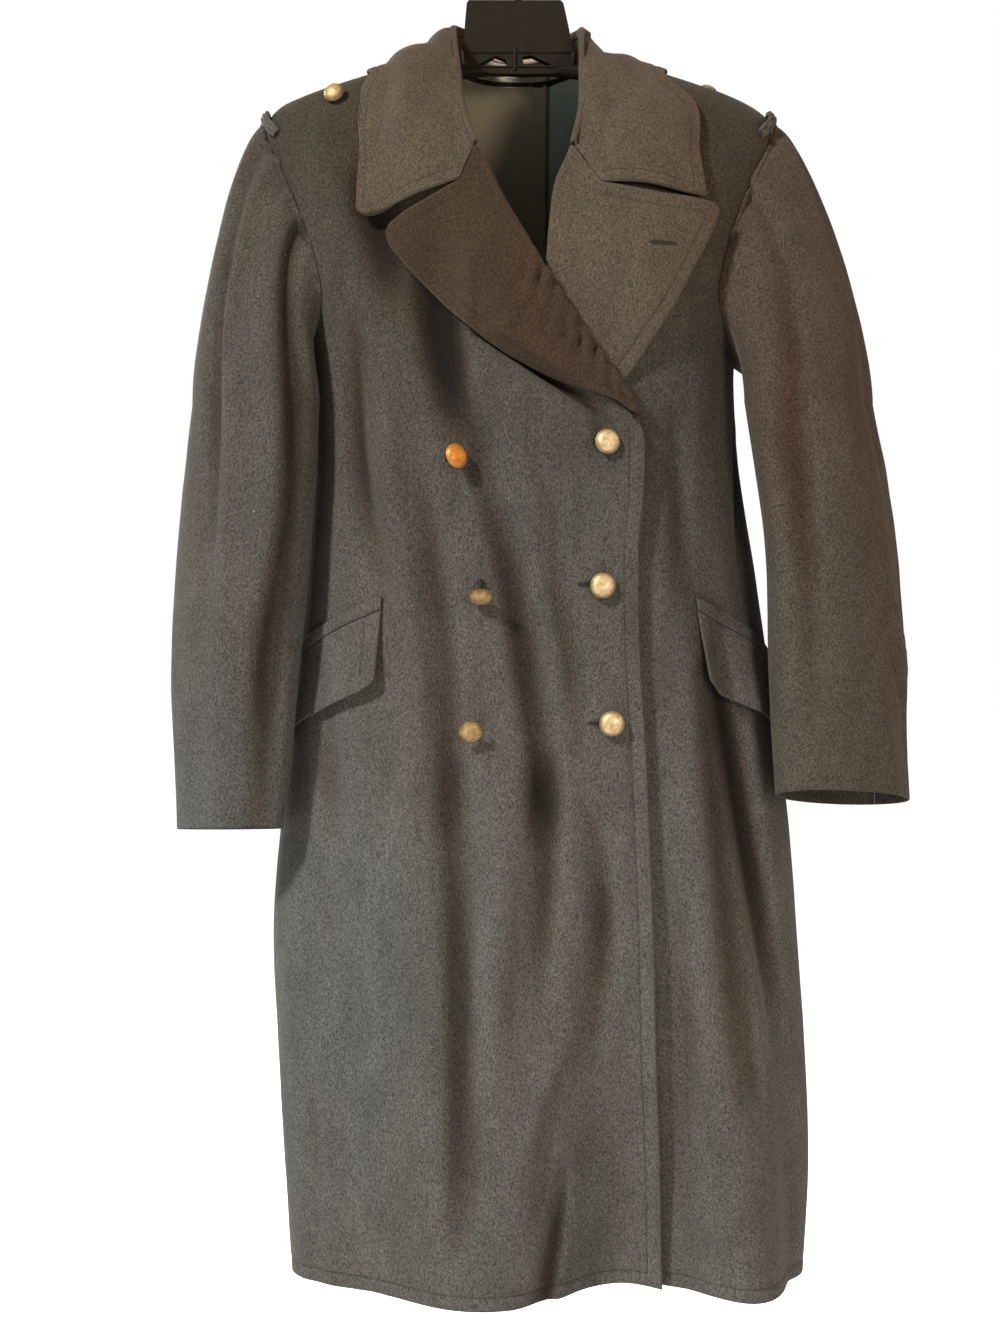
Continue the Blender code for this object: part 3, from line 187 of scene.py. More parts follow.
# Folds: a line through three places on a face (1 front, -1 back), half its width, how much
# wider it is on its +X side than on the other, and its rise.
FOLDS = table(
    "face x_top drop_top x_bend drop_bend x_foot drop_foot width skew rise_top rise_bend rise_foot",
    (1, -0.152, 0.40, -0.148, 0.50, -0.128, 0.62, 0.024, -0.3, -0.006, -0.010, -0.004),
    (1, -0.152, 0.22, -0.136, 0.29, -0.112, 0.38, 0.040, 0.2, -0.004, -0.014, -0.006),
    (1, -0.074, 0.35, -0.069, 0.42, -0.050, 0.51, 0.034, 0.0, -0.016, -0.017, -0.005),
    (1, -0.122, 0.44, -0.112, 0.56, -0.086, 0.70, 0.024, 0.2, 0.003, 0.007, 0.005),
    (1, -0.100, 0.53, -0.080, 0.65, -0.066, 0.80, 0.025, 0.3, -0.005, -0.010, -0.008),
    (1, -0.066, 0.84, -0.058, 0.98, -0.056, 1.18, 0.028, 0.3, -0.007, -0.011, -0.008),
    (1, -0.036, 0.52, -0.004, 0.66, 0.018, 0.80, 0.025, 0.3, -0.005, -0.011, -0.009),
    (1, 0.026, 0.84, 0.022, 0.93, 0.012, 1.02, 0.026, -0.2, -0.010, -0.009, -0.003),
    (1, -0.016, 0.84, -0.020, 0.94, -0.026, 1.06, 0.024, 0.0, 0.004, 0.007, 0.004),
    (1, 0.026, 0.59, 0.042, 0.68, 0.054, 0.77, 0.020, 0.3, -0.003, -0.007, -0.003),
    (1, 0.070, 0.86, 0.078, 0.93, 0.068, 1.05, 0.024, -0.2, -0.006, -0.010, -0.004),
    (1, 0.162, 0.60, 0.180, 0.83, 0.196, 1.06, 0.032, 0.2, -0.004, -0.009, -0.007),
    (1, 0.140, 0.88, 0.150, 1.02, 0.156, 1.18, 0.022, 0.0, -0.002, -0.006, -0.004),
    (1, -0.045, 0.98, -0.036, 1.12, -0.040, 1.30, 0.105, 0.0, 0.004, 0.020, 0.036),
    (1, 0.090, 0.98, 0.094, 1.12, 0.098, 1.30, 0.080, 0.0, -0.003, -0.018, -0.036),
    (1, 0.156, 0.62, 0.170, 0.90, 0.206, 1.30, 0.055, 0.1, 0.005, 0.015, 0.040),
    (1, 0.186, 0.70, 0.212, 0.86, 0.236, 1.02, 0.026, 0.2, -0.010, -0.014, -0.006),
    (1, 0.205, 0.44, 0.207, 0.54, 0.208, 0.62, 0.014, 0.0, -0.004, -0.007, -0.003),
    (1, -0.176, 0.88, -0.165, 1.02, -0.160, 1.20, 0.050, 0.0, -0.003, -0.006, -0.004),
    (1, 0.044, 1.03, 0.022, 1.08, 0.000, 1.15, 0.013, 0.4, 0.002, 0.006, 0.002),
    (1, 0.036, 1.14, 0.024, 1.19, 0.008, 1.25, 0.011, 0.4, 0.003, 0.005, 0.002),
    (1, 0.036, 1.15, 0.032, 1.21, 0.020, 1.30, 0.022, -0.3, -0.005, -0.011, -0.010),
    (1, 0.150, 0.46, 0.146, 0.58, 0.142, 0.70, 0.018, 0.2, -0.002, -0.005, -0.002),
    (1, 0.105, 0.52, 0.098, 0.58, 0.094, 0.66, 0.012, 0.0, 0.001, 0.002, 0.001),
    (1, -0.035, 0.402, 0.020, 0.438, 0.072, 0.472, 0.019, 0.3, -0.009, -0.016, -0.008),
    (1, 0.010, 0.50, 0.030, 0.56, 0.038, 0.62, 0.012, 0.2, -0.001, -0.003, -0.001),
    (1, -0.125, 0.70, -0.118, 0.80, -0.110, 0.92, 0.014, 0.2, -0.001, -0.003, -0.001),
    (1, -0.090, 0.92, -0.096, 1.04, -0.094, 1.18, 0.016, 0.2, 0.001, 0.003, 0.001),
    (1, 0.092, 0.66, 0.090, 0.76, 0.094, 0.88, 0.012, 0.0, 0.001, 0.002, 0.001),
    (1, -0.200, 1.02, -0.196, 1.12, -0.190, 1.24, 0.018, 0.0, -0.001, -0.004, -0.003),
    (1, 0.214, 0.98, 0.226, 1.08, 0.236, 1.22, 0.016, 0.2, 0.001, 0.004, 0.002),
    (1, 0.060, 0.52, 0.058, 0.58, 0.050, 0.66, 0.014, 0.0, -0.001, -0.003, -0.001),
    (1, -0.180, 0.74, -0.178, 0.80, -0.172, 0.90, 0.026, 0.0, -0.003, -0.006, -0.002),
    (1, -0.140, 0.98, -0.136, 1.08, -0.132, 1.22, 0.032, 0.0, 0.001, 0.003, 0.003),
    (1, -0.100, 0.72, -0.104, 0.86, -0.104, 1.04, 0.024, 0.0, 0.002, 0.004, 0.002),
    (-1, -0.120, 0.55, -0.135, 0.85, -0.150, 1.30, 0.080, 0.0, 0.002, 0.010, 0.022),
    (-1, -0.060, 0.60, -0.066, 0.90, -0.072, 1.30, 0.060, 0.0, -0.002, -0.008, -0.014),
    (-1, 0.004, 0.55, 0.006, 0.85, 0.010, 1.30, 0.075, 0.0, 0.002, 0.010, 0.020),
    (-1, 0.076, 0.60, 0.088, 0.90, 0.096, 1.30, 0.060, 0.0, -0.002, -0.008, -0.014),
    (-1, 0.140, 0.55, 0.166, 0.85, 0.190, 1.30, 0.080, 0.0, 0.002, 0.010, 0.022),
    (-1, -0.110, 0.24, -0.090, 0.34, -0.078, 0.46, 0.036, 0.2, -0.003, -0.006, -0.002),
    (-1, 0.118, 0.24, 0.100, 0.34, 0.086, 0.46, 0.036, -0.2, -0.003, -0.006, -0.002),
    (-1, -0.154, 0.46, -0.142, 0.60, -0.128, 0.78, 0.024, 0.3, -0.003, -0.008, -0.004),
    (-1, 0.148, 0.44, 0.140, 0.58, 0.132, 0.74, 0.026, -0.3, -0.004, -0.008, -0.003),
    (-1, -0.030, 0.42, -0.034, 0.60, -0.026, 0.80, 0.022, 0.2, -0.002, -0.006, -0.004),
    (-1, 0.046, 0.46, 0.040, 0.62, 0.046, 0.82, 0.024, 0.0, -0.003, -0.006, -0.003),
    (-1, -0.096, 0.80, -0.106, 0.96, -0.104, 1.14, 0.024, 0.2, -0.004, -0.008, -0.005),
    (-1, 0.128, 0.82, 0.136, 0.98, 0.130, 1.16, 0.026, -0.2, -0.004, -0.008, -0.005),
    (-1, 0.020, 0.94, 0.030, 1.06, 0.034, 1.22, 0.022, 0.0, -0.003, -0.007, -0.004),
    (-1, -0.186, 0.78, -0.196, 0.92, -0.200, 1.10, 0.028, 0.0, -0.003, -0.007, -0.003),
    (-1, 0.206, 0.80, 0.220, 0.94, 0.232, 1.12, 0.028, 0.0, -0.003, -0.007, -0.003),
    (-1, -0.168, 0.26, -0.160, 0.32, -0.146, 0.40, 0.018, 0.2, -0.002, -0.005, -0.002),
    (-1, 0.172, 0.25, 0.162, 0.32, 0.150, 0.41, 0.018, -0.2, -0.002, -0.005, -0.002),
)
NARROW = 0.045

# Lapels: the outer edge, and the top edge from the roll through the notch to the tip.
LAPEL_ROLL_RADIUS = 0.0028
LAPEL_FLAT = 0.006
LAPEL_LIFT = 0.0050
LAPELS = {
    "right": {
        "edge": table(
            "x drop",
            (-0.1220, 0.3060),
            (-0.1195, 0.3150),
            (-0.1060, 0.3330),
            (-0.0699, 0.3730),
            (-0.0226, 0.4120),
            (0.0290, 0.4403),
            (0.0629, 0.4536),
            (0.0907, 0.4640),
            (0.0980, 0.4700),
        ),
        "top": table(
            "x drop",
            (-0.0404, 0.2290),
            (-0.0526, 0.2617),
            (-0.0909, 0.2841),
            (-0.1115, 0.2939),
            (-0.1190, 0.2985),
            (-0.1220, 0.3060),
        ),
    },
    "left": {
        "edge": table(
            "x drop",
            (0.1790, 0.2830),
            (0.1755, 0.2930),
            (0.1550, 0.3370),
            (0.1360, 0.3742),
            (0.1190, 0.4046),
            (0.0990, 0.4380),
            (0.0500, 0.4680),
            (-0.0500, 0.4800),
        ),
        "top": table(
            "x drop",
            (0.0490, 0.2290),
            (0.0733, 0.2632),
            (0.1249, 0.2715),
            (0.1640, 0.2750),
            (0.1755, 0.2775),
            (0.1790, 0.2830),
        ),
    },
}

# Collar: the fold round the neck where its fall turns over the stand, and the fall's outer edge.
COLLAR_FOLD = table(
    "x y drop",
    (-0.0380, -0.1085, 0.2243),
    (-0.0480, -0.0930, 0.1950),
    (-0.0545, -0.0590, 0.1430),
    (-0.0595, -0.0150, 0.0980),
    (-0.0600, 0.0180, 0.0800),
    (-0.0450, 0.0500, 0.0750),
    (0.0000, 0.0660, 0.0840),
    (0.0450, 0.0500, 0.0800),
    (0.0595, 0.0180, 0.0825),
    (0.0585, -0.0150, 0.0960),
    (0.0570, -0.0560, 0.1400),
    (0.0545, -0.0900, 0.1920),
    (0.0470, -0.1080, 0.2250),
)
COLLAR_EDGE = table(
    "face x drop",
    (1, -0.1471, 0.2794),
    (1, -0.1458, 0.2150),
    (1, -0.1448, 0.1610),
    (1, -0.1415, 0.1380),
    (-1, -0.1385, 0.1356),
    (-1, -0.0860, 0.1730),
    (-1, 0.0000, 0.1880),
    (-1, 0.0860, 0.1730),
    (-1, 0.1370, 0.1352),
    (1, 0.1390, 0.1380),
    (1, 0.1520, 0.1640),
    (1, 0.1645, 0.2150),
    (1, 0.1693, 0.2664),
)
# The fall's front ends: down the gorge seam to the notch, then along the bottom edge to the tip.
COLLAR_ENDS = {
    "right": table(
        "x drop",
        (-0.0410, 0.2280),
        (-0.0534, 0.2608),
        (-0.0984, 0.2765),
        (-0.1360, 0.2880),
        (-0.1430, 0.2870),
        (-0.1471, 0.2794),
    ),
    "left": table(
        "x drop",
        (0.0497, 0.2280),
        (0.0741, 0.2622),
        (0.1126, 0.2630),
        (0.1550, 0.2690),
        (0.1660, 0.2700),
        (0.1693, 0.2664),
    ),
}
COLLAR_ROLL_RADIUS = 0.0028
COLLAR_BULGE = 0.006
COLLAR_RISE = 0.006
COLLAR_ROLL_RISE = {"right": 0.0115, "left": 0.0}
COLLAR_OUT = 0.0060
COLLAR_EDGE_OUT = 0.0028
COLLAR_CLEAR = 0.0036

# Sleeves: rings below the armhole, each an ellipse turned in plan, and tipped front to back.
SLEEVES = {
    "right": table(
        "drop x y long short turn tip",
        (0.455, -0.2446, -0.058, 0.0705, 0.0452, 42, 0.00),
        (0.520, -0.2494, -0.060, 0.0728, 0.0458, 40, 0.00),
        (0.600, -0.2562, -0.062, 0.0724, 0.0456, 38, 0.00),
        (0.680, -0.2618, -0.062, 0.0700, 0.0430, 36, 0.04),
        (0.760, -0.2650, -0.061, 0.0642, 0.0390, 34, 0.08),
        (0.851, -0.2683, -0.060, 0.0565, 0.0345, 34, 0.10),
    ),
    "left": table(
        "drop x y long short turn tip",
        (0.455, 0.2702, -0.058, 0.0720, 0.0450, 40, 0.00),
        (0.520, 0.2815, -0.060, 0.0725, 0.0464, 39, 0.00),
        (0.600, 0.2922, -0.062, 0.0730, 0.0452, 38, 0.04),
        (0.680, 0.2964, -0.063, 0.0742, 0.0450, 35, 0.08),
        (0.760, 0.2983, -0.063, 0.0722, 0.0436, 33, 0.14),
        (0.822, 0.3018, -0.062, 0.0700, 0.0428, 30, 0.20),
    ),
}
SLEEVE_TWIST = 48.0
SLEEVE_HEAD_OUT = 0.34
SLEEVE_HEAD_FRONT = 0.24
SLEEVE_HEAD_DOWN = 0.07
SLEEVE_UNDER_OUT = 0.60
SLEEVE_UNDER_DOWN = 0.30
SLEEVE_ARRIVE = 0.8
SLEEVE_CLEAR = 0.0015
SLEEVE_SEAM_GAP = 0.0002
SLEEVE_PANEL_GAP = 0.00004
SLEEVE_SEAMS = (135.0, 272.0)

# Folds of the sleeves: a line through three turns round the sleeve (0 outside, 90 in front,
# 180 beside the body) at three drops, half its width, its skew and its rise.
SLEEVE_FOLD_COLUMNS = (
    "turn_top drop_top turn_bend drop_bend turn_foot drop_foot width skew rise_top rise_bend rise_foot"
)
SLEEVE_FOLDS = {
    "right": table(
        SLEEVE_FOLD_COLUMNS,
        (36, 0.24, 50, 0.46, 58, 0.66, 0.009, 0.3, 0.003, 0.0065, 0.002),
        (27, 0.28, 40, 0.46, 49, 0.62, 0.013, 0.0, -0.003, -0.0075, -0.002),
        (70, 0.22, 84, 0.32, 94, 0.46, 0.022, 0.3, -0.002, -0.009, -0.005),
        (98, 0.38, 100, 0.52, 96, 0.70, 0.026, 0.2, -0.004, -0.010, -0.008),
        (84, 0.64, 90, 0.74, 94, 0.86, 0.024, 0.0, -0.004, -0.009, -0.006),
        (64, 0.62, 58, 0.72, 60, 0.83, 0.014, 0.2, 0.001, 0.003, 0.001),
        (250, 0.34, 244, 0.52, 238, 0.66, 0.020, 0.0, -0.002, -0.006, -0.002),
        (290, 0.50, 284, 0.60, 280, 0.74, 0.018, 0.0, -0.001, -0.005, -0.002),
        (270, 0.56, 300, 0.60, 330, 0.63, 0.014, 0.0, 0.001, 0.004, 0.001),
        (330, 0.30, 326, 0.44, 322, 0.60, 0.018, 0.0, -0.001, -0.004, -0.001),
    ),
    "left": table(
        SLEEVE_FOLD_COLUMNS,
        (36, 0.19, 42, 0.23, 50, 0.30, 0.009, 0.4, 0.002, 0.005, 0.002),
        (60, 0.26, 76, 0.42, 84, 0.58, 0.022, 0.3, -0.002, -0.007, -0.004),
        (92, 0.52, 88, 0.66, 88, 0.80, 0.020, 0.0, -0.003, -0.005, -0.002),
        (12, 0.32, 16, 0.46, 18, 0.60, 0.012, 0.0, -0.001, -0.004, -0.002),
        (52, 0.64, 30, 0.69, 8, 0.74, 0.010, 0.3, 0.001, -0.004, -0.005),
        (44, 0.59, 24, 0.65, 2, 0.72, 0.010, 0.3, 0.001, 0.004, 0.003),
        (8, 0.60, 4, 0.65, 0, 0.71, 0.008, 0.0, -0.002, -0.005, -0.002),
        (70, 0.74, 62, 0.78, 56, 0.82, 0.011, 0.0, -0.001, -0.003, -0.002),
        (46, 0.72, 38, 0.77, 34, 0.82, 0.012, 0.0, 0.001, 0.003, 0.002),
        (250, 0.34, 244, 0.52, 238, 0.66, 0.020, 0.0, -0.002, -0.006, -0.002),
        (286, 0.48, 280, 0.60, 276, 0.74, 0.018, 0.0, -0.001, -0.005, -0.002),
        (330, 0.30, 326, 0.44, 322, 0.58, 0.018, 0.0, -0.001, -0.004, -0.001),
    ),
}

# Pocket flaps and the welts above them.
POCKETS = named(
    "front_x front_drop rear_angle rear_drop crush",
    right=(-0.1250, 0.6490, -84.0, 0.704, 0.0006),
    left=(0.1630, 0.6500, 84.0, 0.704, 0.0020),
)
FLAP_LENGTH = 0.13
FLAP_DEPTH_FRONT = 0.069
FLAP_DEPTH_REAR = 0.070
FLAP_CORNER = 0.009
FLAP_LIFT = 0.0090
FLAP_GAP = 0.0009
WELT_HEIGHT = 0.0125
WELT_GAP = 0.0006
WELT_ARCH = 0.0008

# Shoulder-strap loops: the place on the shoulder line and how far each arches.
LOOP_RADIUS = 0.0050
LOOP_SEAT = 0.0018
LOOP_ARCH = 0.0030
LOOP_SPREAD = 25.0
LOOP_DROP = 0.1765
LOOP_FALL = 0.0230
LOOP_TWISTS = 7

# Mouldings on the hanger's plate: their ends and half their width.
PLATE_FRONT = -0.0056
PLATE_MOULDINGS = table(
    "x_first z_first x_last z_last half",
    (-0.0505, -0.1118, 0.0490, -0.1118, 0.0011),
    (-0.0029, -0.1085, -0.0029, -0.1290, 0.0015),
    (-0.0420, -0.1255, 0.0360, -0.1255, 0.0010),
)

# Buttons: the place, the way the face turns (right and up, degrees), the shank's length and finish.
BUTTONS = named(
    "x drop aside droop shank finish",
    button_fastened_1=(0.0788, 0.4985, 0, 4, 0.0042, "aged_brass"),
    button_fastened_2=(0.0744, 0.6275, -6, 0, 0.0046, "aged_brass"),
    button_fastened_3=(0.0826, 0.7513, -4, 3, 0.0044, "aged_brass"),
    button_outer_1=(-0.0647, 0.5150, 48, 16, 0.0130, "orange_brass"),
    button_outer_2=(-0.0345, 0.6225, 6, -58, 0.0165, "brown_brass"),
    button_outer_3=(-0.0440, 0.7515, 10, -34, 0.0110, "brown_brass"),
)
SHOULDER_BUTTONS = named(
    "angle drop aside droop shank finish",
    button_shoulder_right=(-46, 0.168, 0, -15, 0.0045, "brown_brass"),
    button_shoulder_left=(98, 0.149, 0, 0, 0.004, "aged_brass"),
)
BUTTON_RADIUS = 0.0115
SHOULDER_BUTTON_RADIUS = 0.0100
BUTTON_HEIGHT = 0.0064
SHANK_RADIUS = 0.0022
BUTTON_GAP = 0.0002
# A button's dome, turned from its back to its crown: the share of its radius and the height.
BUTTON_PROFILE = (
    (0.86, 0.0001), (0.96, 0.0003), (1.0, 0.0008), (0.985, 0.0014), (0.955, 0.0017), (0.935, 0.0018),
    (0.90, 0.0026), (0.83, 0.0036), (0.70, 0.0048), (0.52, 0.0056), (0.32, 0.0061), (0.14, 0.0063),
)

# Worked buttonholes on the cloth and on the lapels' leaves, past the columns of their roll.
BUTTONHOLES = named(
    "x drop length",
    buttonhole_1=(0.0706, 0.4985, 0.024),
    buttonhole_2=(0.0645, 0.6262, 0.024),
    buttonhole_3=(0.0735, 0.7510, 0.024),
)
LAPEL_BUTTONHOLES = named(
    "side x drop length",
    buttonhole_lapel_left=("left", 0.1285, 0.3160, 0.026),
    buttonhole_lapel_right=("right", -0.0745, 0.3250, 0.018),
)
ROLL_COLUMNS = 14

LINING_FOOT_DROP = 0.520
LINING_GAP = 0.0030
LINING_SEWN = 0.0008
PLEAT_X = 0.030
PLEAT_WIDTH = 0.014
PLEAT_DEPTH = 0.0040
LINING_REACH = 1.05

# Wool tints: light and dark for the heather. warm is multiplied into random patches up to the share warmth,
# and into the painted crease shade. upper is painted shade, multiplied in towards the top between heights low
# and high. The left sleeve's copy is browner and darker as painted shade. The right lapel's copy is darker
# and browner, partly its own darker colour and partly painted shade.
WOOLS = named(
    "light dark warm warmth upper low high",
    wool=((0.170, 0.165, 0.149), (0.022, 0.021, 0.018), (1.0, 0.84, 0.75), 0.55,
          (0.46, 0.37, 0.28), -0.86, -0.20),
    wool_sleeve_right=((0.160, 0.158, 0.146), (0.023, 0.022, 0.020), (1.0, 0.84, 0.75), 0.55,
                       (0.62, 0.52, 0.40), -0.90, -0.12),
    wool_sleeve_left=((0.134, 0.111, 0.088), (0.020, 0.016, 0.013), (1.0, 0.76, 0.66), 0.70,
                      (0.80, 0.70, 0.60), -0.90, -0.20),
    wool_facing=((0.140, 0.112, 0.080), (0.028, 0.021, 0.015), (1.0, 0.76, 0.66), 0.80,
                 (0.90, 0.84, 0.78), -0.40, -0.10),
    wool_lapel_right=((0.082, 0.053, 0.033), (0.018, 0.012, 0.008), (1.0, 0.76, 0.66), 0.80,
                      (0.85, 0.80, 0.72), -0.45, -0.20),
)
BRASSES = named(
    "bright dull rim",
    aged_brass=((0.74, 0.56, 0.31), (0.46, 0.31, 0.13), (0.13, 0.078, 0.030)),
    orange_brass=((0.72, 0.27, 0.035), (0.48, 0.15, 0.018), (0.42, 0.20, 0.060)),
    brown_brass=((0.52, 0.34, 0.14), (0.28, 0.165, 0.060), (0.080, 0.048, 0.020)),
)

# The room: its floor, how bright floor and sky look and how much they light, lights and camera.
FLOOR_Z = -1.70
FLOOR_HALF = 40.0
FLOOR_LIT, FLOOR_GLOW = 0.05, 1.0
SKY_LIT, SKY_GLOW = 0.12, 1.0
LIGHTS = named(
    "place aim_z size power tint",
    key=((-2.2, -2.2, 1.7), -0.70, 0.5, 175.0, (0.98, 1.0, 1.0)),
    fill=((1.5, -2.8, -0.1), -0.60, 0.8, 36.0, (1.0, 0.84, 0.69)),
    back=((-1.6, 3.0, 0.9), -0.65, 1.2, 90.0, (1.0, 0.98, 0.95)),
    rim_left=((-2.2, 0.9, 0.2), -0.6, 1.2, 16.0, (0.94, 0.98, 1.0)),
    rim_right=((2.3, -0.2, 0.3), -0.6, 1.2, 18.0, (1.0, 0.76, 0.58)),
)
CAMERA_PLACE = (-0.0173, -1.9, -0.700)
SENSOR_HEIGHT = 36.0
FOCAL_PIXELS = 1978.0
PHOTO_HEIGHT = 1333.0


# The surface that every cloth piece lies on


def smooth(places, values, at):
    """A smooth curve through a column that never passes its rows, clamped at its ends."""
    places, values, at = np.asarray(places, float), np.asarray(values, float), np.asarray(at, float)
    secants = np.diff(values) / np.diff(places)
    slopes = np.gradient(values, places)
    before, after = np.r_[secants[0], secants], np.r_[secants, secants[-1]]
    most = 3 * np.minimum(np.abs(before), np.abs(after)) * (before * after > 0)
    slopes = np.clip(slopes, -most, most)
    i = np.clip(np.searchsorted(places, at) - 1, 0, len(places) - 2)
    span = places[i + 1] - places[i]
    t = np.clip((at - places[i]) / span, 0.0, 1.0)
    rise = values[i + 1] - values[i]
    bend_in = slopes[i] * span - rise
    bend_out = rise - slopes[i + 1] * span
    return values[i] + t * rise + t * (1 - t) * ((1 - t) * bend_in + t * bend_out)


def step(t):
    """0 to 1 as t goes from 0 to 1, with level ends."""
    t = np.clip(t, 0.0, 1.0)
    return t * t * (3 - 2 * t)


def points(x, y, z):
    return np.stack(np.broadcast_arrays(x, y, z), axis=-1)


def unit(vectors):
    return vectors / np.maximum(np.linalg.norm(vectors, axis=-1, keepdims=True), 1e-12)


def noise(places, size, seed):
    """Smooth chance values from -1 to 1, in lumps about size metres across (one for each axis)."""
    side = 24
    lattice = np.random.default_rng(seed).uniform(-1, 1, (side, side, side))
    scaled = places / np.asarray(size)
    cell = np.floor(scaled).astype(int)
    share = step(scaled - cell)
    total = np.zeros(places.shape[:-1])
    for corner in np.ndindex(2, 2, 2):
        at = (cell + corner) % side
        weight = np.prod(np.where(np.array(corner) > 0, share, 1 - share), axis=-1)
        total += weight * lattice[at[..., 0], at[..., 1], at[..., 2]]
    return total


def reach(drop, column):
    return smooth(RINGS["drop"], RINGS[column], drop)


def base_point(angle, drop):
    """The body's surface before its folds."""
    angle, drop = np.broadcast_arrays(np.asarray(angle, float), np.asarray(drop, float))
    left, right = reach(drop, "left"), reach(drop, "right")
    power = 2 / RING_SQUARENESS
    sine, cosine = np.sin(angle), np.cos(angle)
    x = (right - left) / 2 + (right + left) / 2 * np.sign(sine) * np.abs(sine) ** power
    depth = np.where(cosine > 0, -reach(drop, "front"), reach(drop, "back"))
    return points(x, depth * np.abs(cosine) ** power, -drop)


def base_normal(angle, drop):
    h_angle, h_drop = 0.004, 0.0008
    drop = np.clip(drop, RINGS["drop"][0] + h_drop, HEM_DROP - h_drop)
    across = base_point(angle + h_angle, drop) - base_point(angle - h_angle, drop)
    down = base_point(angle, drop + h_drop) - base_point(angle, drop - h_drop)
    return unit(np.cross(down, across))


def angle_at(x, drop, face=1):
    """The angle where a ring passes x on its front (1) or its back (-1)."""
    left, right = reach(drop, "left"), reach(drop, "right")
    share = (x - (right - left) / 2) / ((right + left) / 2)
    angle = np.arcsin(np.sign(share) * np.minimum(np.abs(share), 1.0) ** (RING_SQUARENESS / 2))
    return angle if face > 0 else math.pi - angle


def rows_of(columns):
    """A table's rows, each a dict."""
    return [dict(zip(columns, values)) for values in zip(*columns.values())]


def crease(fold, level, away, side, total, tone, chosen):
    """Adds one fold's rise to total, and its depth to tone, the painted crease shade, where the fold is
    narrow.
    """
    knots = (fold["drop_top"], fold["drop_bend"], fold["drop_foot"])
    width = fold["width"] * (1 + fold["skew"] * side)
    shape = np.clip(1 - (away / width) ** 2, 0, 1) ** 2
    ends = (knots[0] - FOLD_FADE, *knots, knots[2] + FOLD_FADE)
    rises = (0, fold["rise_top"], fold["rise_bend"], fold["rise_foot"], 0)
    rise = shape * smooth(ends, rises, level)
    total[chosen] += rise
    if fold["width"] < NARROW:
        tone[chosen] += np.clip(rise / 0.010, -2, 1)


def fold_rise(angle, drop):
    """How far the folds carry the cloth out at each place, and how deep in a crease it lies, which the wool
    paints as shade.
    """
    here = base_point(angle, drop)
    total, tone = np.zeros(here.shape[:-1]), np.zeros(here.shape[:-1])
    for fold in rows_of(FOLDS):
        face = fold["face"]
        chosen = (here[..., 2] < FOLD_FADE - fold["drop_top"])
        chosen &= here[..., 2] > -fold["drop_foot"] - FOLD_FADE
        chosen &= here[..., 1] * face < 0.02
        place = here[chosen]
        if not len(place):
            continue
        level = -place[:, 2]
        knots = (fold["drop_top"], fold["drop_bend"], fold["drop_foot"])
        x = smooth(knots, (fold["x_top"], fold["x_bend"], fold["x_foot"]), level)
        line = base_point(angle_at(x, level, face), level)
        away = np.linalg.norm((place - line)[:, :2], axis=-1)
        crease(fold, level, away, np.sign(place[:, 0] - line[:, 0]), total, tone, chosen)
    return total, tone


def uneven(places):
    """The small chance waves of hung wool, calmer on the shoulders."""
    calm = 0.30 + 0.70 * step((-places[..., 2] - 0.20) / 0.25)
    broad = 0.0016 * noise(places, (0.095, 0.095, 0.30), 3)
    middle = 0.0009 * noise(places, (0.042, 0.042, 0.13), 5)
    fine = 0.00035 * noise(places, (0.017, 0.017, 0.040), 7)
    return calm * (broad + middle) + fine


def surface(angle, drop, creased=True):
    """Places on the body's cloth, the way out at each, and how deep in a crease it is."""
    angle, drop = np.broadcast_arrays(np.asarray(angle, float), np.asarray(drop, float))
    base, out = base_point(angle, drop), base_normal(angle, drop)
    rise, tone = fold_rise(angle, drop)
    rise = rise + uneven(base) * creased
    return base + out * rise[..., None], out, tone


def side_angle(drop, face):
    """Where a panel ends at the side: shoulder seam, armhole, then side seam."""
    armhole = np.radians(smooth(ARMHOLE["drop"], ARMHOLE[face], drop))
    inside = (drop > SHOULDER_DROP) & (drop < UNDERARM_DROP)
    return np.where(inside, armhole, math.pi / 2)


def lapping_x(drop):
    return smooth(LAPPING_EDGE["drop"], LAPPING_EDGE["x"], drop)


def under_x(drop):
    return smooth(UNDER_EDGE["drop"], UNDER_EDGE["x"], drop)


def under_out(x, drop):
    """How far inside the body's surface the under front lies."""
    depth = smooth(UNDER_DEPTH["drop"], UNDER_DEPTH["depth"], drop)
    past = (x - lapping_x(drop) - UNDER_REACH) / UNDER_FADE
    return -depth * (1 - step(past))


def neck_dip(angles):
    """How far the back's neckline dips at its middle."""
    return (BACK_NECK_DROP - NECK_DROP) * np.cos(angles - math.pi) ** 4


# Grids and shells


def stations(length, first=PLAIN, last=PLAIN, spacing=SPACING):
    """Distances along a length: close lines near each end and even ones between."""
    count = max(int(round((length - first[-1] - last[-1]) / spacing)), 2)
    even = np.linspace(first[-1], length - last[-1], count + 1)
    return np.concatenate([[0.0], first[:-1], even, length - np.array(last[:-1])[::-1], [length]])


def spaced(length, first=PLAIN, last=PLAIN, spacing=SPACING):
    """The same as shares of the length."""
    return stations(length, first, last, spacing) / length


def run_lengths(grid, axis=0):
    """Length along a grid's lines from their start."""
    lengths = np.linalg.norm(np.diff(grid, axis=axis), axis=-1)
    return np.concatenate([np.zeros_like(lengths.take([0], axis)), np.cumsum(lengths, axis)], axis)


def body_drops():
    """The body's rows, even along its side and close at the hem's stitching."""
    fine = np.linspace(NECK_DROP, HEM_DROP, 2400)
    lengths = run_lengths(base_point(math.pi / 2, fine))
    return np.interp(stations(lengths[-1], PLAIN, STITCHED), lengths, fine)


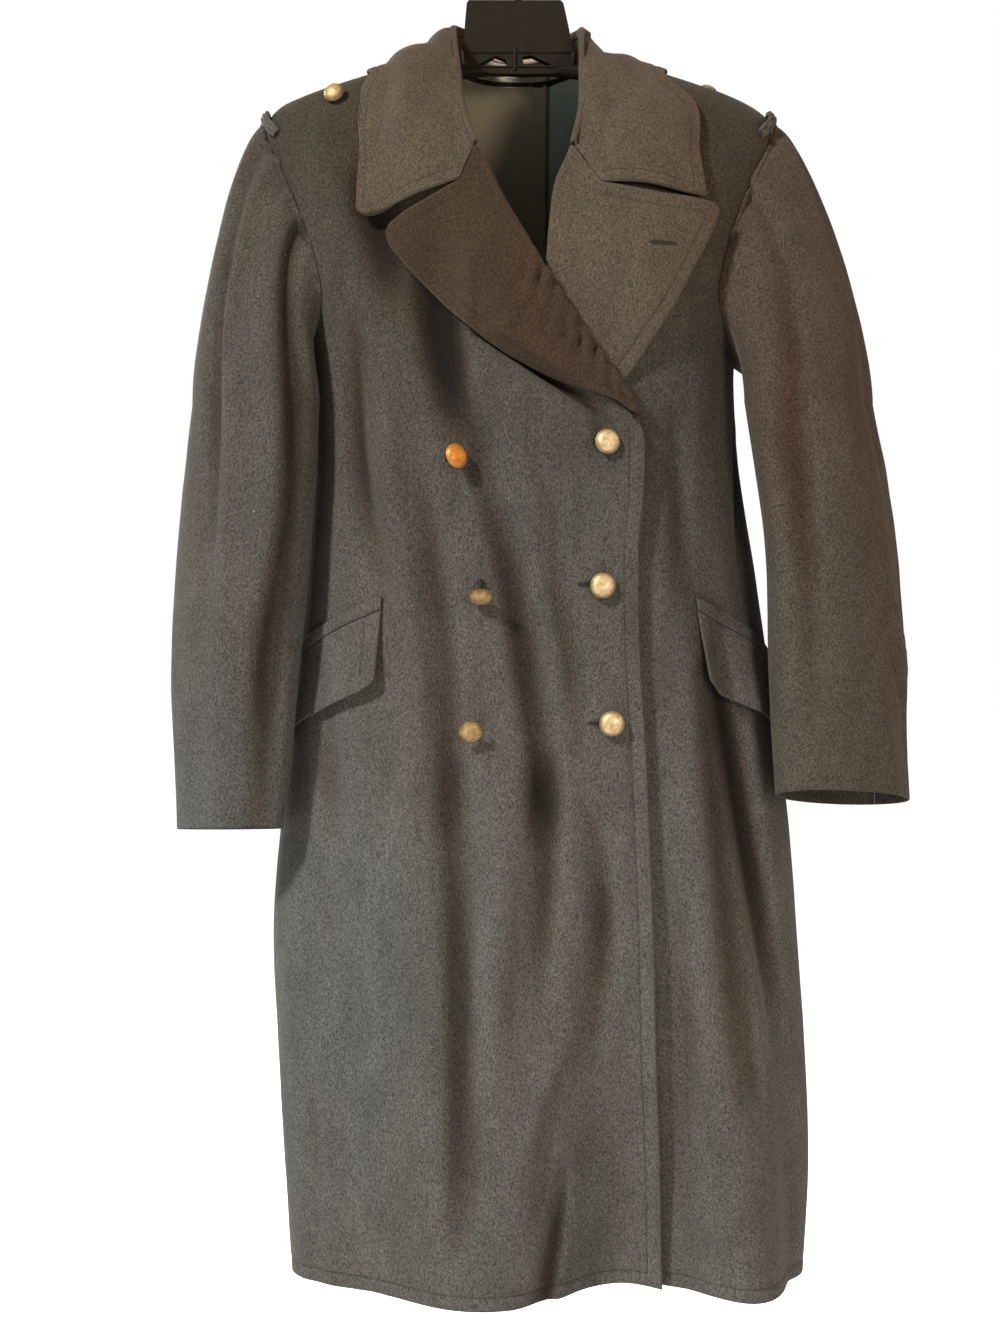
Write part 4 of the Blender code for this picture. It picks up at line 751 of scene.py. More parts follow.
def row_angles(start, end, drops, first, last, spacing=SPACING):
    """Columns for each row: close lines near both edges and even ones between."""
    share = np.linspace(0, 1, 240)
    fine = start[:, None] * (1 - share) + end[:, None] * share
    lengths = run_lengths(base_point(fine, drops[:, None]), axis=1)
    even = int(round((lengths[:, -1].max() - first[-1] - last[-1]) / spacing))
    made = []
    for row, length in enumerate(lengths[:, -1]):
        scale = min(1.0, 0.35 * length / max(first[-1], last[-1]))
        near, far = np.array(first) * scale, length - np.array(last)[::-1] * scale
        middle = np.linspace(near[-1], far[0], even + 1)
        places = np.concatenate([[0.0], near[:-1], middle, far[1:], [length]])
        made.append(np.interp(places, lengths[row], fine[row]))
    return np.array(made)


def grid_normals(grid, closed=False):
    """The normal at each of a grid's points, from its neighbours."""
    if closed:
        across = np.roll(grid, -1, axis=1) - np.roll(grid, 1, axis=1)
    else:
        across = np.gradient(grid, axis=1)
    return unit(np.cross(np.gradient(grid, axis=0), across))


def rim_depth(grid):
    """Each point's distance from the grid's nearest edge."""
    down, across = run_lengths(grid, 0), run_lengths(grid, 1)
    return np.minimum(np.minimum(down, down[-1:] - down), np.minimum(across, across[:, -1:] - across))


def stitch_sink(edge):
    """How far a row of stitching pulls the cloth in, by the distance from the stitched edge."""
    return STITCH_SINK * np.clip(1 - ((edge - STITCH_INSET) / STITCH_HALF) ** 2, 0, 1)


def mesh_piece(name, vertices, faces, sharp=None, **layers):
    """A smooth mesh, with the values that its material reads at each point."""
    mesh = bpy.data.meshes.new(name)
    mesh.from_pydata(np.asarray(vertices).tolist(), [], faces)
    mesh.update()
    mesh.shade_smooth()
    if sharp is not None:
        mesh.set_sharp_from_angle(angle=math.radians(sharp))
    for label, values in layers.items():
        layer = mesh.attributes.new(label, "FLOAT", "POINT")
        layer.data.foreach_set("value", values.astype(np.float32))
    made = bpy.data.objects.new(name, mesh)
    COLLECTION.objects.link(made)
    return made


def shell(name, middle, thickness=CLOTH, tone=0.0, edge=1.0, run=0.0, outer=None):
    """A thin closed piece of cloth round its middle layer, with rounded rims."""
    size = middle.shape[:2]
    normals = grid_normals(middle)
    if outer is not None and (normals * outer).sum(axis=-1).mean() < 0:
        normals = -normals
    near = np.clip(rim_depth(middle) / RIM_RADIUS, 0, 1)
    half = thickness / 2 * np.maximum(np.sqrt(1 - (1 - near) ** 2), LEAST_RIM)
    half = (half - stitch_sink(edge))[..., None]
    vertices = np.stack([middle + normals * half, middle - normals * half]).reshape(-1, 3)
    index = np.arange(near.size).reshape(size)
    face = np.stack([index[:-1, :-1], index[1:, :-1], index[1:, 1:], index[:-1, 1:]], axis=-1).reshape(-1, 4)
    here = np.concatenate([index[0], index[1:, -1], index[-1, -2::-1], index[-2:0:-1, 0]])
    there = np.roll(here, -1)
    rim = np.stack([here, there, there + near.size, here + near.size], axis=-1)
    faces = np.concatenate([face, face[:, ::-1] + near.size, rim])
    a, b, c, d = vertices[faces].swapaxes(0, 1)
    if (np.cross(a, b) * c).sum() + (np.cross(a, c) * d).sum() < 0:
        faces = faces[:, ::-1]
    layers = {"tone": tone, "edge": edge, "run": run}
    layers = {label: np.tile(np.broadcast_to(values, size).ravel(), 2) for label, values in layers.items()}
    return mesh_piece(name, vertices, faces.tolist(), **layers)


def bands(index):
    """The quads between rings of point numbers."""
    across = np.roll(index, -1, axis=1)
    return np.stack([index[:-1], across[:-1], across[1:], index[1:]], axis=-1).reshape(-1, 4).tolist()


def rings_round(line, first, second, sides):
    """Rings round a line, each spanned by two half widths."""
    turns = np.linspace(0, 2 * math.pi, sides + 1)[:-1, None]
    first, second, _ = np.broadcast_arrays(first, second, line)
    return line[:, None] + first[:, None] * np.cos(turns) + second[:, None] * np.sin(turns)


def tubes(name, grids):
    """One mesh from several tubes of rings, each with both its ends closed."""
    faces, start = [], 0
    for grid in grids:
        index = np.arange(grid[..., 0].size).reshape(grid.shape[:2]) + start
        faces += [*bands(index), index[0][::-1].tolist(), index[-1].tolist()]
        start += index.size
    return mesh_piece(name, np.concatenate([grid.reshape(-1, 3) for grid in grids]), faces, sharp=60)


def dress(made, nodes, finish):
    """Stands a piece for its solids, with its finish."""
    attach(made, "root")
    if nodes:
        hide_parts(*nodes)
    made.data.materials.clear()
    made.data.materials.append(MATERIALS[finish])


def sheet(part, middle, flat, held, rests_on, finish="wool", slot="wool", **shape):
    """A piece of cloth on the solid of its name."""
    made = shell(f"{part}_cloth", middle, **shape)
    dress(made, [part], finish)


# Materials


class Look:
    """A material or a world in the making: each method adds a node and gives what it puts out."""

    def __init__(self, name, owner=None):
        self.name, self.owner = name, owner or bpy.data.materials.new(name)
        self.owner.use_nodes = True
        self.tree = self.owner.node_tree

    def feed(self, made, inputs):
        """Sets or links a node's sockets, by name or by number."""
        for name, value in inputs.items():
            socket = made.inputs[name]
            if isinstance(value, bpy.types.NodeSocket):
                self.tree.links.new(value, socket)
            else:
                socket.default_value = (*value, 1.0) if socket.type == "RGBA" else value

    def node(self, kind, inputs=None, **settings):
        made = self.tree.nodes.new("ShaderNode" + kind)
        for name, value in settings.items():
            setattr(made, name, value)
        self.feed(made, inputs or {})
        return made

    def maths(self, operation, first, second=0.0, clamp=False):
        return self.node("Math", {0: first, 1: second}, operation=operation, use_clamp=clamp).outputs[0]

    def times(self, first, second):
        return self.maths("MULTIPLY", first, second)

    def ranged(self, value, low, high, to_low=0.0, to_high=1.0):
        return self.node("MapRange", dict(enumerate((value, low, high, to_low, to_high)))).outputs[0]

    def mixed(self, share, first, second, blend="MIX"):
        feeds = {0: share, 6: first, 7: second}
        return self.node("Mix", feeds, data_type="RGBA", blend_type=blend).outputs[2]

    def attribute(self, name):
        return self.node("Attribute", attribute_name=name).outputs["Fac"]

    def places(self, z=1.0, y=1.0):
        """Object coordinates, scaled on each axis."""
        here = self.node("TexCoord").outputs["Object"]
        return self.node("Mapping", {"Vector": here, "Scale": (1.0, y, z)}).outputs[0]

    def axis(self, number):
        return self.node("SeparateXYZ", {0: self.places()}).outputs[number]

    def patches(self, scale, detail=2.0, roughness=0.5, z=1.0):
        """Patches of noise, drawn out upright where z is under 1."""
        sockets = {"Vector": self.places(z), "Scale": scale, "Detail": detail, "Roughness": roughness}
        return self.node("TexNoise", sockets).outputs[0]

    def finish(self, inputs, strength, distance, height):
        """Feeds the shader, with a bump, and keeps the material."""
        bump = self.node("Bump", {"Strength": strength, "Distance": distance, "Height": height})
        self.feed(self.tree.nodes["Principled BSDF"], {**inputs, "Normal": bump.outputs[0]})
        MATERIALS[self.name] = self.owner


def wool(name, light, dark, warm, warmth, upper, low, high):
    """Heathered melton: mottled colour, flecks, nap, stitching and worn edges, with painted shade in its
    creases, a painted darkening towards the top and a painted shadow along each stitch groove.
    """
    look = Look(name)
    flecks = look.patches(700.0, 3.0, 0.75, 0.62)
    fibres = look.patches(1500.0, 2.0, 0.6, 0.45)
    blotches = look.patches(34.0, 4.0, 0.6, 0.45)
    regions = look.patches(7.0, z=0.30)
    bluish = look.patches(5.0, z=0.6)
    tone, edge = look.attribute("tone"), look.attribute("edge")
    base = look.mixed(look.ranged(flecks, 0.36, 0.66), dark, light)
    base = look.mixed(look.ranged(fibres, 0.35, 0.75, 0.0, 0.35), base, light)
    base = look.mixed(look.ranged(blotches, 0.35, 0.70, 0.0, 0.30), base, dark)
    # Painted shade: the tone attribute is negative in creases, puckers and crushed places. There the colour
    # is multiplied warmer (red adds this to the warm tint of random patches) and darker.
    shade = look.ranged(tone, -0.25, -1.0)
    red = look.maths("ADD", look.ranged(regions, 0.42, 0.68, 0.0, warmth), shade, clamp=True)
    base = look.mixed(red, base, warm, "MULTIPLY")
    base = look.mixed(look.times(shade, 0.75), base, (0.44, 0.38, 0.34), "MULTIPLY")
    # Painted shadow: the deepest creases go near black.
    base = look.mixed(look.ranged(tone, -0.7, -1.5, 0.0, 0.85), base, (0.010, 0.009, 0.008))
    # Painted shade: the colour is multiplied by upper towards the top, from height low up to height high.
    base = look.mixed(look.ranged(look.axis(2), low, high), base, upper, "MULTIPLY")
    base = look.mixed(look.ranged(bluish, 0.50, 0.72, 0.0, 0.6), base, (0.86, 1.0, 1.02), "MULTIPLY")
    lint = look.node("TexVoronoi", {"Vector": look.places(), "Scale": 42.0, "Randomness": 1.0})
    spots = look.ranged(lint.outputs["Distance"], 0.030, 0.018)
    chance = look.node("SeparateColor", {0: lint.outputs["Color"]}).outputs[0]
    base = look.mixed(look.times(spots, look.ranged(chance, 0.90, 0.93)), base, (0.42, 0.40, 0.34))
    base = look.mixed(look.ranged(edge, 0.0030, 0.0002, 0.0, 0.45), base, (0.070, 0.060, 0.046))
    off = look.maths("ABSOLUTE", look.maths("SUBTRACT", edge, STITCH_INSET))
    dash = look.maths("FRACT", look.maths("DIVIDE", look.attribute("run"), STITCH_LENGTH))
    thread = look.times(look.ranged(off, 0.00075, 0.00045), look.ranged(dash, 0.72, 0.66))
    # Painted shadow: a soft dark band along the stitch groove. The dashes below are the thread's own colour.
    base = look.mixed(look.times(look.ranged(off, 0.0013, 0.0004), 0.30), base, (0.014, 0.010, 0.008))
    base = look.mixed(look.times(thread, 0.40), base, (0.045, 0.038, 0.030))
    nap = look.maths("ADD", look.times(flecks, 0.8), look.times(fibres, 0.4))
    nap = look.maths("ADD", nap, look.times(thread, 0.5))
    inputs = {"Base Color": base, "Roughness": 0.95, "Specular IOR Level": 0.12, "Sheen Weight": 0.12,
              "Sheen Roughness": 0.45, "Sheen Tint": (0.75, 0.72, 0.66)}
    look.finish(inputs, 0.35, 0.0010, nap)


def lining_cloth(name):
    """Twill lining, olive to the wearer's right of the pleat and bluer past it: the bluer, lighter part is
    painted light, a cooler light on that side, and the dark line at the pleat's fold is painted shade.
    """
    look = Look(name)
    where = look.axis(0)
    drift = look.patches(18.0, 3.0, z=0.3)
    # Painted light: past the pleat the lining turns bluer and lighter, as if lit by a cooler light.
    past = look.ranged(look.maths("ADD", where, look.times(drift, 0.004)), 0.029, 0.036)
    base = look.mixed(past, (0.430, 0.370, 0.255), (0.430, 0.520, 0.440))
    base = look.mixed(look.ranged(drift, 0.40, 0.70, 0.0, 0.5), base, (0.250, 0.215, 0.145))
    # Painted shade: a dark line along the pleat's fold.
    pleat = look.ranged(look.maths("ABSOLUTE", look.maths("SUBTRACT", where, PLEAT_X)), 0.003, 0.0004)
    base = look.mixed(look.times(pleat, 0.8), base, (0.008, 0.008, 0.006))
    sockets = {"Vector": look.places(y=0.3), "Scale": 360.0, "Distortion": 1.5}
    weave = look.node("TexWave", sockets, bands_direction="DIAGONAL").outputs[1]
    base = look.mixed(look.ranged(weave, 0.0, 1.0, 0.0, 0.18), base, (0.16, 0.15, 0.11))
    look.finish({"Base Color": base, "Roughness": 0.62, "Specular IOR Level": 0.3}, 0.2, 0.0004, weave)


def aged_brass(name, bright, dull, rim):
    """Matt old brass with a brown patina in patches, a darker rim and a dark shank."""
    look = Look(name)
    patina = look.patches(260.0, 4.0, 0.65)
    grain = look.patches(1600.0, 2.0, 0.6)
    crown = look.attribute("tone")
    base = look.mixed(look.ranged(patina, 0.34, 0.58), dull, bright)
    base = look.mixed(look.ranged(crown, 0.04, 0.30, 0.75, 0.0), base, rim)
    base = look.mixed(look.ranged(grain, 0.58, 0.74, 0.0, 0.35), base, dull)
    base = look.mixed(look.ranged(crown, -0.1, -0.6), base, (0.014, 0.011, 0.008))
    rough = look.ranged(patina, 0.3, 0.7, 0.58, 0.42)
    look.finish({"Base Color": base, "Roughness": rough, "Metallic": 0.45}, 0.12, 0.0002, grain)


def moulded_plastic(name):
    """Dark brown-black moulded plastic with a fine grain and faint scuffs."""
    look = Look(name)
    grain = look.patches(1300.0)
    scuffs = look.patches(60.0, 5.0, 0.7, 4.0)
    base = look.mixed(look.ranged(scuffs, 0.50, 0.72, 0.0, 0.5), (0.013, 0.009, 0.004), (0.024, 0.017, 0.009))
    rough = look.ranged(scuffs, 0.3, 0.7, 0.50, 0.65)
    look.finish({"Base Color": base, "Roughness": rough, "Specular IOR Level": 0.14}, 0.18, 0.0002, grain)


def woven(name, ground, stripe=None, stripe_colour=None):
    """A woven label or tab, with a plain band across it where stripe gives its place in z."""
    look = Look(name)
    threads = look.patches(1500.0, z=3.0)
    base = look.mixed(look.ranged(threads, 0.3, 0.7, 0.0, 0.35), ground, [c * 0.6 for c in ground])
    if stripe:
        height = look.axis(2)
        above, below = (look.ranged(height, end, end + fade) for end, fade in zip(stripe, (0.0006, -0.0006)))
        base = look.mixed(look.times(above, below), base, stripe_colour)
    look.finish({"Base Color": base, "Roughness": 0.8}, 0.25, 0.0002, threads)


def thread(name, tint):
    look = Look(name)
    fibres = look.patches(1800.0, 2.0, 0.6)
    base = look.mixed(look.ranged(fibres, 0.3, 0.7), [c * 0.45 for c in tint], tint)
    look.finish({"Base Color": base, "Roughness": 0.85}, 0.5, 0.0003, fibres)


# The body


def front(side):
    right = side == "right"
    drops = body_drops()
    inner_x = lapping_x(drops) if right else under_x(drops)
    outer_angle = side_angle(drops, "front") * (-1 if right else 1)
    angles = row_angles(outer_angle, angle_at(inner_x, drops), drops, PLAIN, STITCHED)
    levels = np.repeat(drops[:, None], angles.shape[1], axis=1)
    place, out, tone = surface(angles, levels)
    across = run_lengths(place, 1)
    from_edge = across[:, -1:] - across
    if right:
        near_edge = np.clip(1 - from_edge / EDGE_LIFT_WIDTH, 0, 1) ** 1.5
        depth = EDGE_LIFT * near_edge * step((levels - 0.474) / 0.03)
    else:
        depth = under_out(base_point(angles, levels)[..., 0], levels)
    middle = place + out * (depth - CLOTH / 2)[..., None]
    from_edge = np.where(levels > 0.484, from_edge, 1.0)
    down, along_hem = run_lengths(middle, 0), run_lengths(middle, 1)
    from_hem = down[-1:] - down
    edge, run = np.minimum(from_edge, from_hem), np.where(from_edge < from_hem, down, along_hem)
    sheet(f"front_{side}", middle, (0.46, 1.18), "hung", ["hanger", "back_cloth"],
          tone=tone, edge=edge, run=run, outer=out)


def back():
    drops = body_drops()
    side = side_angle(drops, "back")
    angles = row_angles(math.pi - side, math.pi + side, drops, PLAIN, PLAIN)
    levels = drops[:, None] + neck_dip(angles) * np.clip(1 - (drops[:, None] - NECK_DROP) / 0.06, 0, 1)
    place, out, tone = surface(angles, levels)
    middle = place - out * CLOTH / 2
    down = run_lengths(middle, 0)
    sheet("back", middle, (0.66, 1.20), "hung", ["hanger"],
          tone=tone, edge=down[-1:] - down, run=run_lengths(middle, 1), outer=out)


def shares_of(knots):
    """Each knot's share of the way along their line."""
    lengths = run_lengths(knots)
    return lengths / lengths[-1]


def knots_of(rows, names=("x", "drop")):
    return np.stack([rows[name] for name in names], axis=-1)


def along(rows, shares, names=("x", "drop"), corner=None):
    """Places at shares of the way along a table's rows. A corner's row keeps its sharp turn."""
    knots = knots_of(rows, names)
    knot_shares = shares_of(knots)
    columns = range(len(names))
    if corner is None:
        return np.stack([smooth(knot_shares, knots[:, i], shares) for i in columns], -1)
    before = np.stack([np.interp(shares, knot_shares, knots[:, i]) for i in columns], -1)
    after = np.stack([smooth(knot_shares[corner:], knots[corner:, i], shares) for i in columns], -1)
    return np.where((shares < knot_shares[corner])[:, None], before, after)


def coons(left, right, top, bottom, s, r):
    """A patch between four edges. left and right run down with s, top and bottom across with r."""
    s, r = s[:, None, None], r[None, :, None]
    sides = (1 - r) * left[:, None] + r * right[:, None]
    ends = (1 - s) * top[None] + s * bottom[None]
    corners = (1 - r) * ((1 - s) * left[0] + s * left[-1]) + r * ((1 - s) * right[0] + s * right[-1])
    return sides + ends - corners


def lapel_grid(side):
    """Places (x, drop, out) of a lapel's middle layer, its shares across and down, and its notch's."""
    shape, sign = LAPELS[side], 1 if side == "right" else -1
    fine = np.linspace(0.2291, 0.4740, 600)
    seam = lapping_x(fine) if side == "right" else under_x(fine)
    fine_roll = np.stack([seam + sign * LAPEL_FLAT, fine], axis=-1)
    length = run_lengths(fine_roll)
    rows = stations(length[-1], STITCHED, PLAIN, 0.0042)
    roll = np.stack([np.interp(rows, length, fine_roll[:, i]) for i in range(2)], axis=-1)
    s = rows / rows[-1]
    notch = shares_of(knots_of(shape["top"]))[1]
    r = np.sort(np.append(spaced(0.11, ROLLED, STITCHED, 0.0040), notch))
    edge = along(shape["edge"], s)
    top = along(shape["top"], r, corner=1)
    bottom = roll[-1] * (1 - r[:, None]) + edge[-1] * r[:, None]
    leaf = coons(roll, edge, top, bottom, s, r)
    slope = unit(np.gradient(roll, axis=0))
    inward = np.stack([slope[:, 1], -slope[:, 0]], axis=-1)
    inward *= np.sign(inward[:, :1]) * sign
    middle = -CLOTH / 2
    flat = LAPEL_FLAT - 0.0004
    columns = [(roll - [sign * flat * (1 - share), 0], middle) for share in (0.0, 0.3, 0.7, 1.0)]
    for turn in math.pi * np.linspace(0.1, 0.9, 9):
        bend = roll + inward * LAPEL_ROLL_RADIUS * math.sin(turn)
        columns.append((bend, middle + LAPEL_ROLL_RADIUS * (1 - math.cos(turn))))
    strip = [np.concatenate([place, np.full((len(s), 1), out)], axis=1) for place, out in columns]
    lift = LAPEL_LIFT * step(r / 0.6)[None] * step((1.0 - s[:, None]) / 0.35)
    if side == "left":
        lift = lift * step((leaf[..., 0] - lapping_x(leaf[..., 1]) - 0.02) / 0.04)
    leaf = np.concatenate([leaf, (middle + 2 * LAPEL_ROLL_RADIUS + lift)[..., None]], axis=2)
    grid = np.concatenate([np.stack(strip, axis=1), leaf], axis=1)
    return grid, np.concatenate([np.zeros(len(strip)), r]), s, notch


def lapel_puckers(side, share, s):
    """Short ridges that run in from the roll where the lapel is pulled towards its button."""
    s = s[:, None]
    run = s * 0.34
    fade = np.exp(-((share / 0.50) ** 2))
    if side == "left":
        return 0.0004 * np.sin(2 * math.pi * run / 0.060 + 0.8) * fade * step((s - 0.4) / 0.3)
    strength = step((s - 0.30) / 0.18) * (1 - 0.7 * step((s - 0.86) / 0.12))
    wave = np.sin(2 * math.pi * (run - 0.045 * share) / 0.026)
    wave += 0.35 * np.sin(2 * math.pi * (run + 0.020 * share) / 0.0165 + 1.3)
    return 0.0021 * strength * fade * wave * (0.5 + 0.7 * np.sin(run * 31.0 + 3.0 * share) ** 2)


def lapel(side):
    grid, share, s, notch = lapel_grid(side)
    x, drop, out = np.moveaxis(grid, -1, 0)
    if side == "left":
        out = out + under_out(x, drop)
    place, away, _ = surface(angle_at(x, drop), drop)
    ripple = lapel_puckers(side, share, s)
    middle = place + away * (out + ripple)[..., None]
    across, down = run_lengths(middle, 1), run_lengths(middle, 0)
    from_edge, from_top = across[:, -1:] - across, np.where(share > notch, down, 1.0)
    edge, run = np.minimum(from_edge, from_top), np.where(from_edge < from_top, down, across)
    finish = "wool_lapel_right" if side == "right" else "wool_facing"
    # Painted shade: the puckers' troughs are darkened through the tone.
    sheet(f"lapel_{side}", middle, (0.15, 0.34), "folded", [f"front_{side}_cloth"], finish,
          tone=ripple / 0.003, edge=edge, run=run, outer=away)
    return middle


# The collar


def ring_share(place):
    """How far out a place is, as a multiple of the ring at its height."""
    drop = -place[..., 2]
    left, right = reach(drop, "left"), reach(drop, "right")
    across = np.abs((place[..., 0] - (right - left) / 2) / ((right + left) / 2))
    deep = np.abs(place[..., 1] / np.where(place[..., 1] < 0, reach(drop, "front"), reach(drop, "back")))
    return (across**RING_SQUARENESS + deep**RING_SQUARENESS) ** (1 / RING_SQUARENESS)


def keep_off(places, least):
    """Moves places out until each is at least so far outside the body's surface."""
    places = places.copy()
    h = 2e-4
    for _ in range(4):
        share = ring_share(places)
        slope = np.stack([(ring_share(places + h * axis) - share) / h for axis in np.eye(3)], -1)
        size = np.linalg.norm(slope, axis=-1)
        short = np.maximum(least - (share - 1) / size, 0)
        places += slope / size[..., None] * short[..., None]
    return places


def plain_point(angle, drop, out=0.0):
    """A place on the cloth with its folds but without its chance waves."""
    place, away, _ = surface(angle, drop, creased=False)
    return place + away * np.broadcast_to(out, place.shape[:-1])[..., None]


def neck_seam(shares):
    """The stand's foot: up one front's neck edge, round the back's neckline and down the other."""
    drops = np.linspace(0.2265, NECK_DROP + 0.002, 60)
    inside = CLOTH / 2 + SEAM_GAP * (2 + 6 * step((0.150 - drops) / 0.025))
    right, left = (plain_point(angle_at(x, drops), drops, -CLOTH / 2)
                   for x in (lapping_x(drops) + inside, under_x(drops) - inside))
    turn = np.linspace(1.5 * math.pi, 0.5 * math.pi, 120)
    round_back = plain_point(turn, NECK_DROP + neck_dip(turn), -CLOTH / 2)
    inward = unit(np.array([0.0, 0.010, 0.0]) - round_back * [1, 1, 0])
    clear = CLOTH / 2 + SEAM_GAP * (2 + 8 * np.sin(turn) ** 6)
    round_back = round_back + inward * clear[:, None]
    knots = np.concatenate([right[:-1], round_back, left[-2::-1]])
    knot_shares = shares_of(knots)
    return np.stack([np.interp(shares, knot_shares, knots[:, i]) for i in range(3)], axis=-1)


def collar_edge(shares):
    """The fall's outer edge, from the right tip round the back to the left tip."""
    edge_places = shares_of(knots_of(COLLAR_FOLD, ("x", "y", "drop")))
    around = np.array([angle_at(*row) for row in zip(*(COLLAR_EDGE[name] for name in ("x", "drop", "face")))])
    around = np.where(around > 0.9 * math.pi, around - 2 * math.pi, around)
    past = np.arange(len(around)) > len(around) // 2
    around -= np.where(past & (around > 0), 2 * math.pi, 0)
    from_end = np.minimum(shares, 1 - shares)
    out = COLLAR_OUT - (COLLAR_OUT - COLLAR_EDGE_OUT) * step((from_end - 0.06) / 0.16)
    drop = smooth(edge_places, COLLAR_EDGE["drop"], shares)
    return plain_point(smooth(edge_places, around, shares), drop, out)


def collar():
    shares = spaced(0.44, STITCHED, STITCHED, 0.0036)
    fold = along(COLLAR_FOLD, shares, ("x", "y", "drop")) * [1, 1, -1]
    foot, edge = neck_seam(shares), collar_edge(shares)
    tangent = unit(np.gradient(fold, axis=0))
    crest = fold - (foot + edge) / 2
    crest = unit(crest - tangent * (crest * tangent).sum(axis=1, keepdims=True))
    outward = unit(np.cross(tangent, crest))
    outward *= np.sign((outward * (edge - foot)).sum(axis=1, keepdims=True))
    rolled = []
    for turn in math.pi * np.linspace(0, 1, 9):
        way = -math.cos(turn) * outward + math.sin(turn) * crest
        rolled.append(fold - crest * COLLAR_ROLL_RADIUS + way * COLLAR_ROLL_RADIUS)
    split, stand_top = (rolled[0] + (foot - rolled[0]) * share for share in (0.14, 0.155))
    stand = np.stack([stand_top * (1 - t) + foot * t for t in spaced(0.03, PLAIN, PLAIN, 0.003)])
    sheet("collar_stand", stand, (0.44, 0.035), "folded", ["back_cloth"], "wool_facing")

    notches = [shares_of(knots_of(COLLAR_ENDS[side]))[1] for side in ("right", "left")]
    r = np.sort(np.concatenate([spaced(0.10, ROLLED, STITCHED, 0.0036), notches]))
    ends = []
    for side, start in (("right", rolled[-1][0]), ("left", rolled[-1][-1])):
        x, drop = along(COLLAR_ENDS[side], r, corner=1).T
        out = -CLOTH / 2 + 2 * LAPEL_ROLL_RADIUS + LAPEL_LIFT * step(r / 0.6)
        ends.append(plain_point(angle_at(x, drop), drop, out))
        ends[-1][0] = start
    edge[0], edge[-1] = ends[0][-1], ends[1][-1]
    leaf = coons(rolled[-1], edge, ends[0], ends[1], shares, r)
    from_end = np.minimum(shares, 1 - shares)[:, None, None]
    beside = step((from_end - 0.14) / 0.14)
    arch = np.sin(math.pi * r)[None, :, None]
    leaf = leaf + outward[:, None] * COLLAR_BULGE * arch * step(from_end / 0.12)
    leaf = leaf + crest[:, None] * COLLAR_RISE * arch**2 * beside
    right_rise, left_rise = COLLAR_ROLL_RISE["right"], COLLAR_ROLL_RISE["left"]
    roll_rise = (right_rise + (left_rise - right_rise) * step((shares - 0.40) / 0.2))[:, None, None]
    early = np.sin(math.pi * np.sqrt(r))[None, :, None]
    leaf = leaf + outward[:, None] * roll_rise * early * beside
    leaf[1:-1, 1:] = keep_off(leaf[1:-1, 1:], CLOTH / 2 + COLLAR_CLEAR * (1 - 0.6 * r[None, 1:] ** 3))
    drawn = [split * (1 - t) + rolled[0] * t for t in (0.0, 0.1, 0.3, 0.6)] + rolled[:-1]
    fall = np.concatenate([np.stack(drawn, axis=1), leaf], axis=1)
    share = np.concatenate([np.zeros(len(drawn)), r])
    wave = 0.0007 * noise(fall, (0.040, 0.040, 0.060), 21) + 0.0003 * noise(fall, (0.015,) * 3, 22)
    fall = fall + grid_normals(fall) * (wave * step(share / 0.3))[..., None]
    across, down = run_lengths(fall, 1), run_lengths(fall, 0)
    from_edge = across[:, -1:] - across
    from_ends = (np.where(share > notch, gap, 1.0) for notch, gap in zip(notches, (down, down[-1:] - down)))
    from_end = np.minimum(*from_ends)
    # Painted shade: the troughs of the fall's waves are darkened through the tone.
    sheet("collar_fall", fall, (0.56, 0.15), "folded", ["collar_stand_cloth"], "wool_facing",
          tone=wave / 0.002, edge=np.minimum(from_edge, from_end),
          run=np.where(from_edge < from_end, down, across))
    return stand


# The sleeves


def sleeve_ring(rings, drop, turn, sign):
    """One ring of a sleeve: turn is 0 outside, 90 degrees in front and 180 beside the body."""
    columns = ("x", "y", "long", "short", "turn", "tip")
    x, y, long, short, lean, tip = (smooth(rings["drop"], rings[name], drop) for name in columns)
    lean = math.radians(float(lean))
    way = turn + math.radians(SLEEVE_TWIST) * (1 - np.cos(turn)) / 2 - (math.pi - lean)
    axis = np.array([-sign * math.cos(lean), -math.sin(lean)])
    cross = np.array([-sign * math.sin(lean), math.cos(lean)])
    plan = np.cos(way)[:, None] * axis * long + np.sin(way)[:, None] * cross * short
    return points(x + plan[:, 0], y + plan[:, 1], -drop - tip * plan[:, 1])


def armhole_line(sign):
    """The armhole seam on the cloth's middle layer, its way out, and the sleeve's turn at each."""
    fine = np.linspace(SHOULDER_DROP, UNDERARM_DROP, 900)
    halves = []
    for face in ("front", "back"):
        angle = np.radians(smooth(ARMHOLE["drop"], ARMHOLE[face], fine))
        angle = angle if face == "front" else math.pi - angle
        length = run_lengths(base_point(angle, fine))
        places = np.linspace(0, length[-1], 49)
        halves.append(np.stack([np.interp(places, length, angle), np.interp(places, length, fine)]))
    angles, drops = np.concatenate([halves[0], halves[1][:, -2:0:-1]], axis=1)
    place, out, _ = surface(sign * angles, drops)
    return place - out * CLOTH / 2, out, np.linspace(0, 2 * math.pi, len(angles) + 1)[:-1]


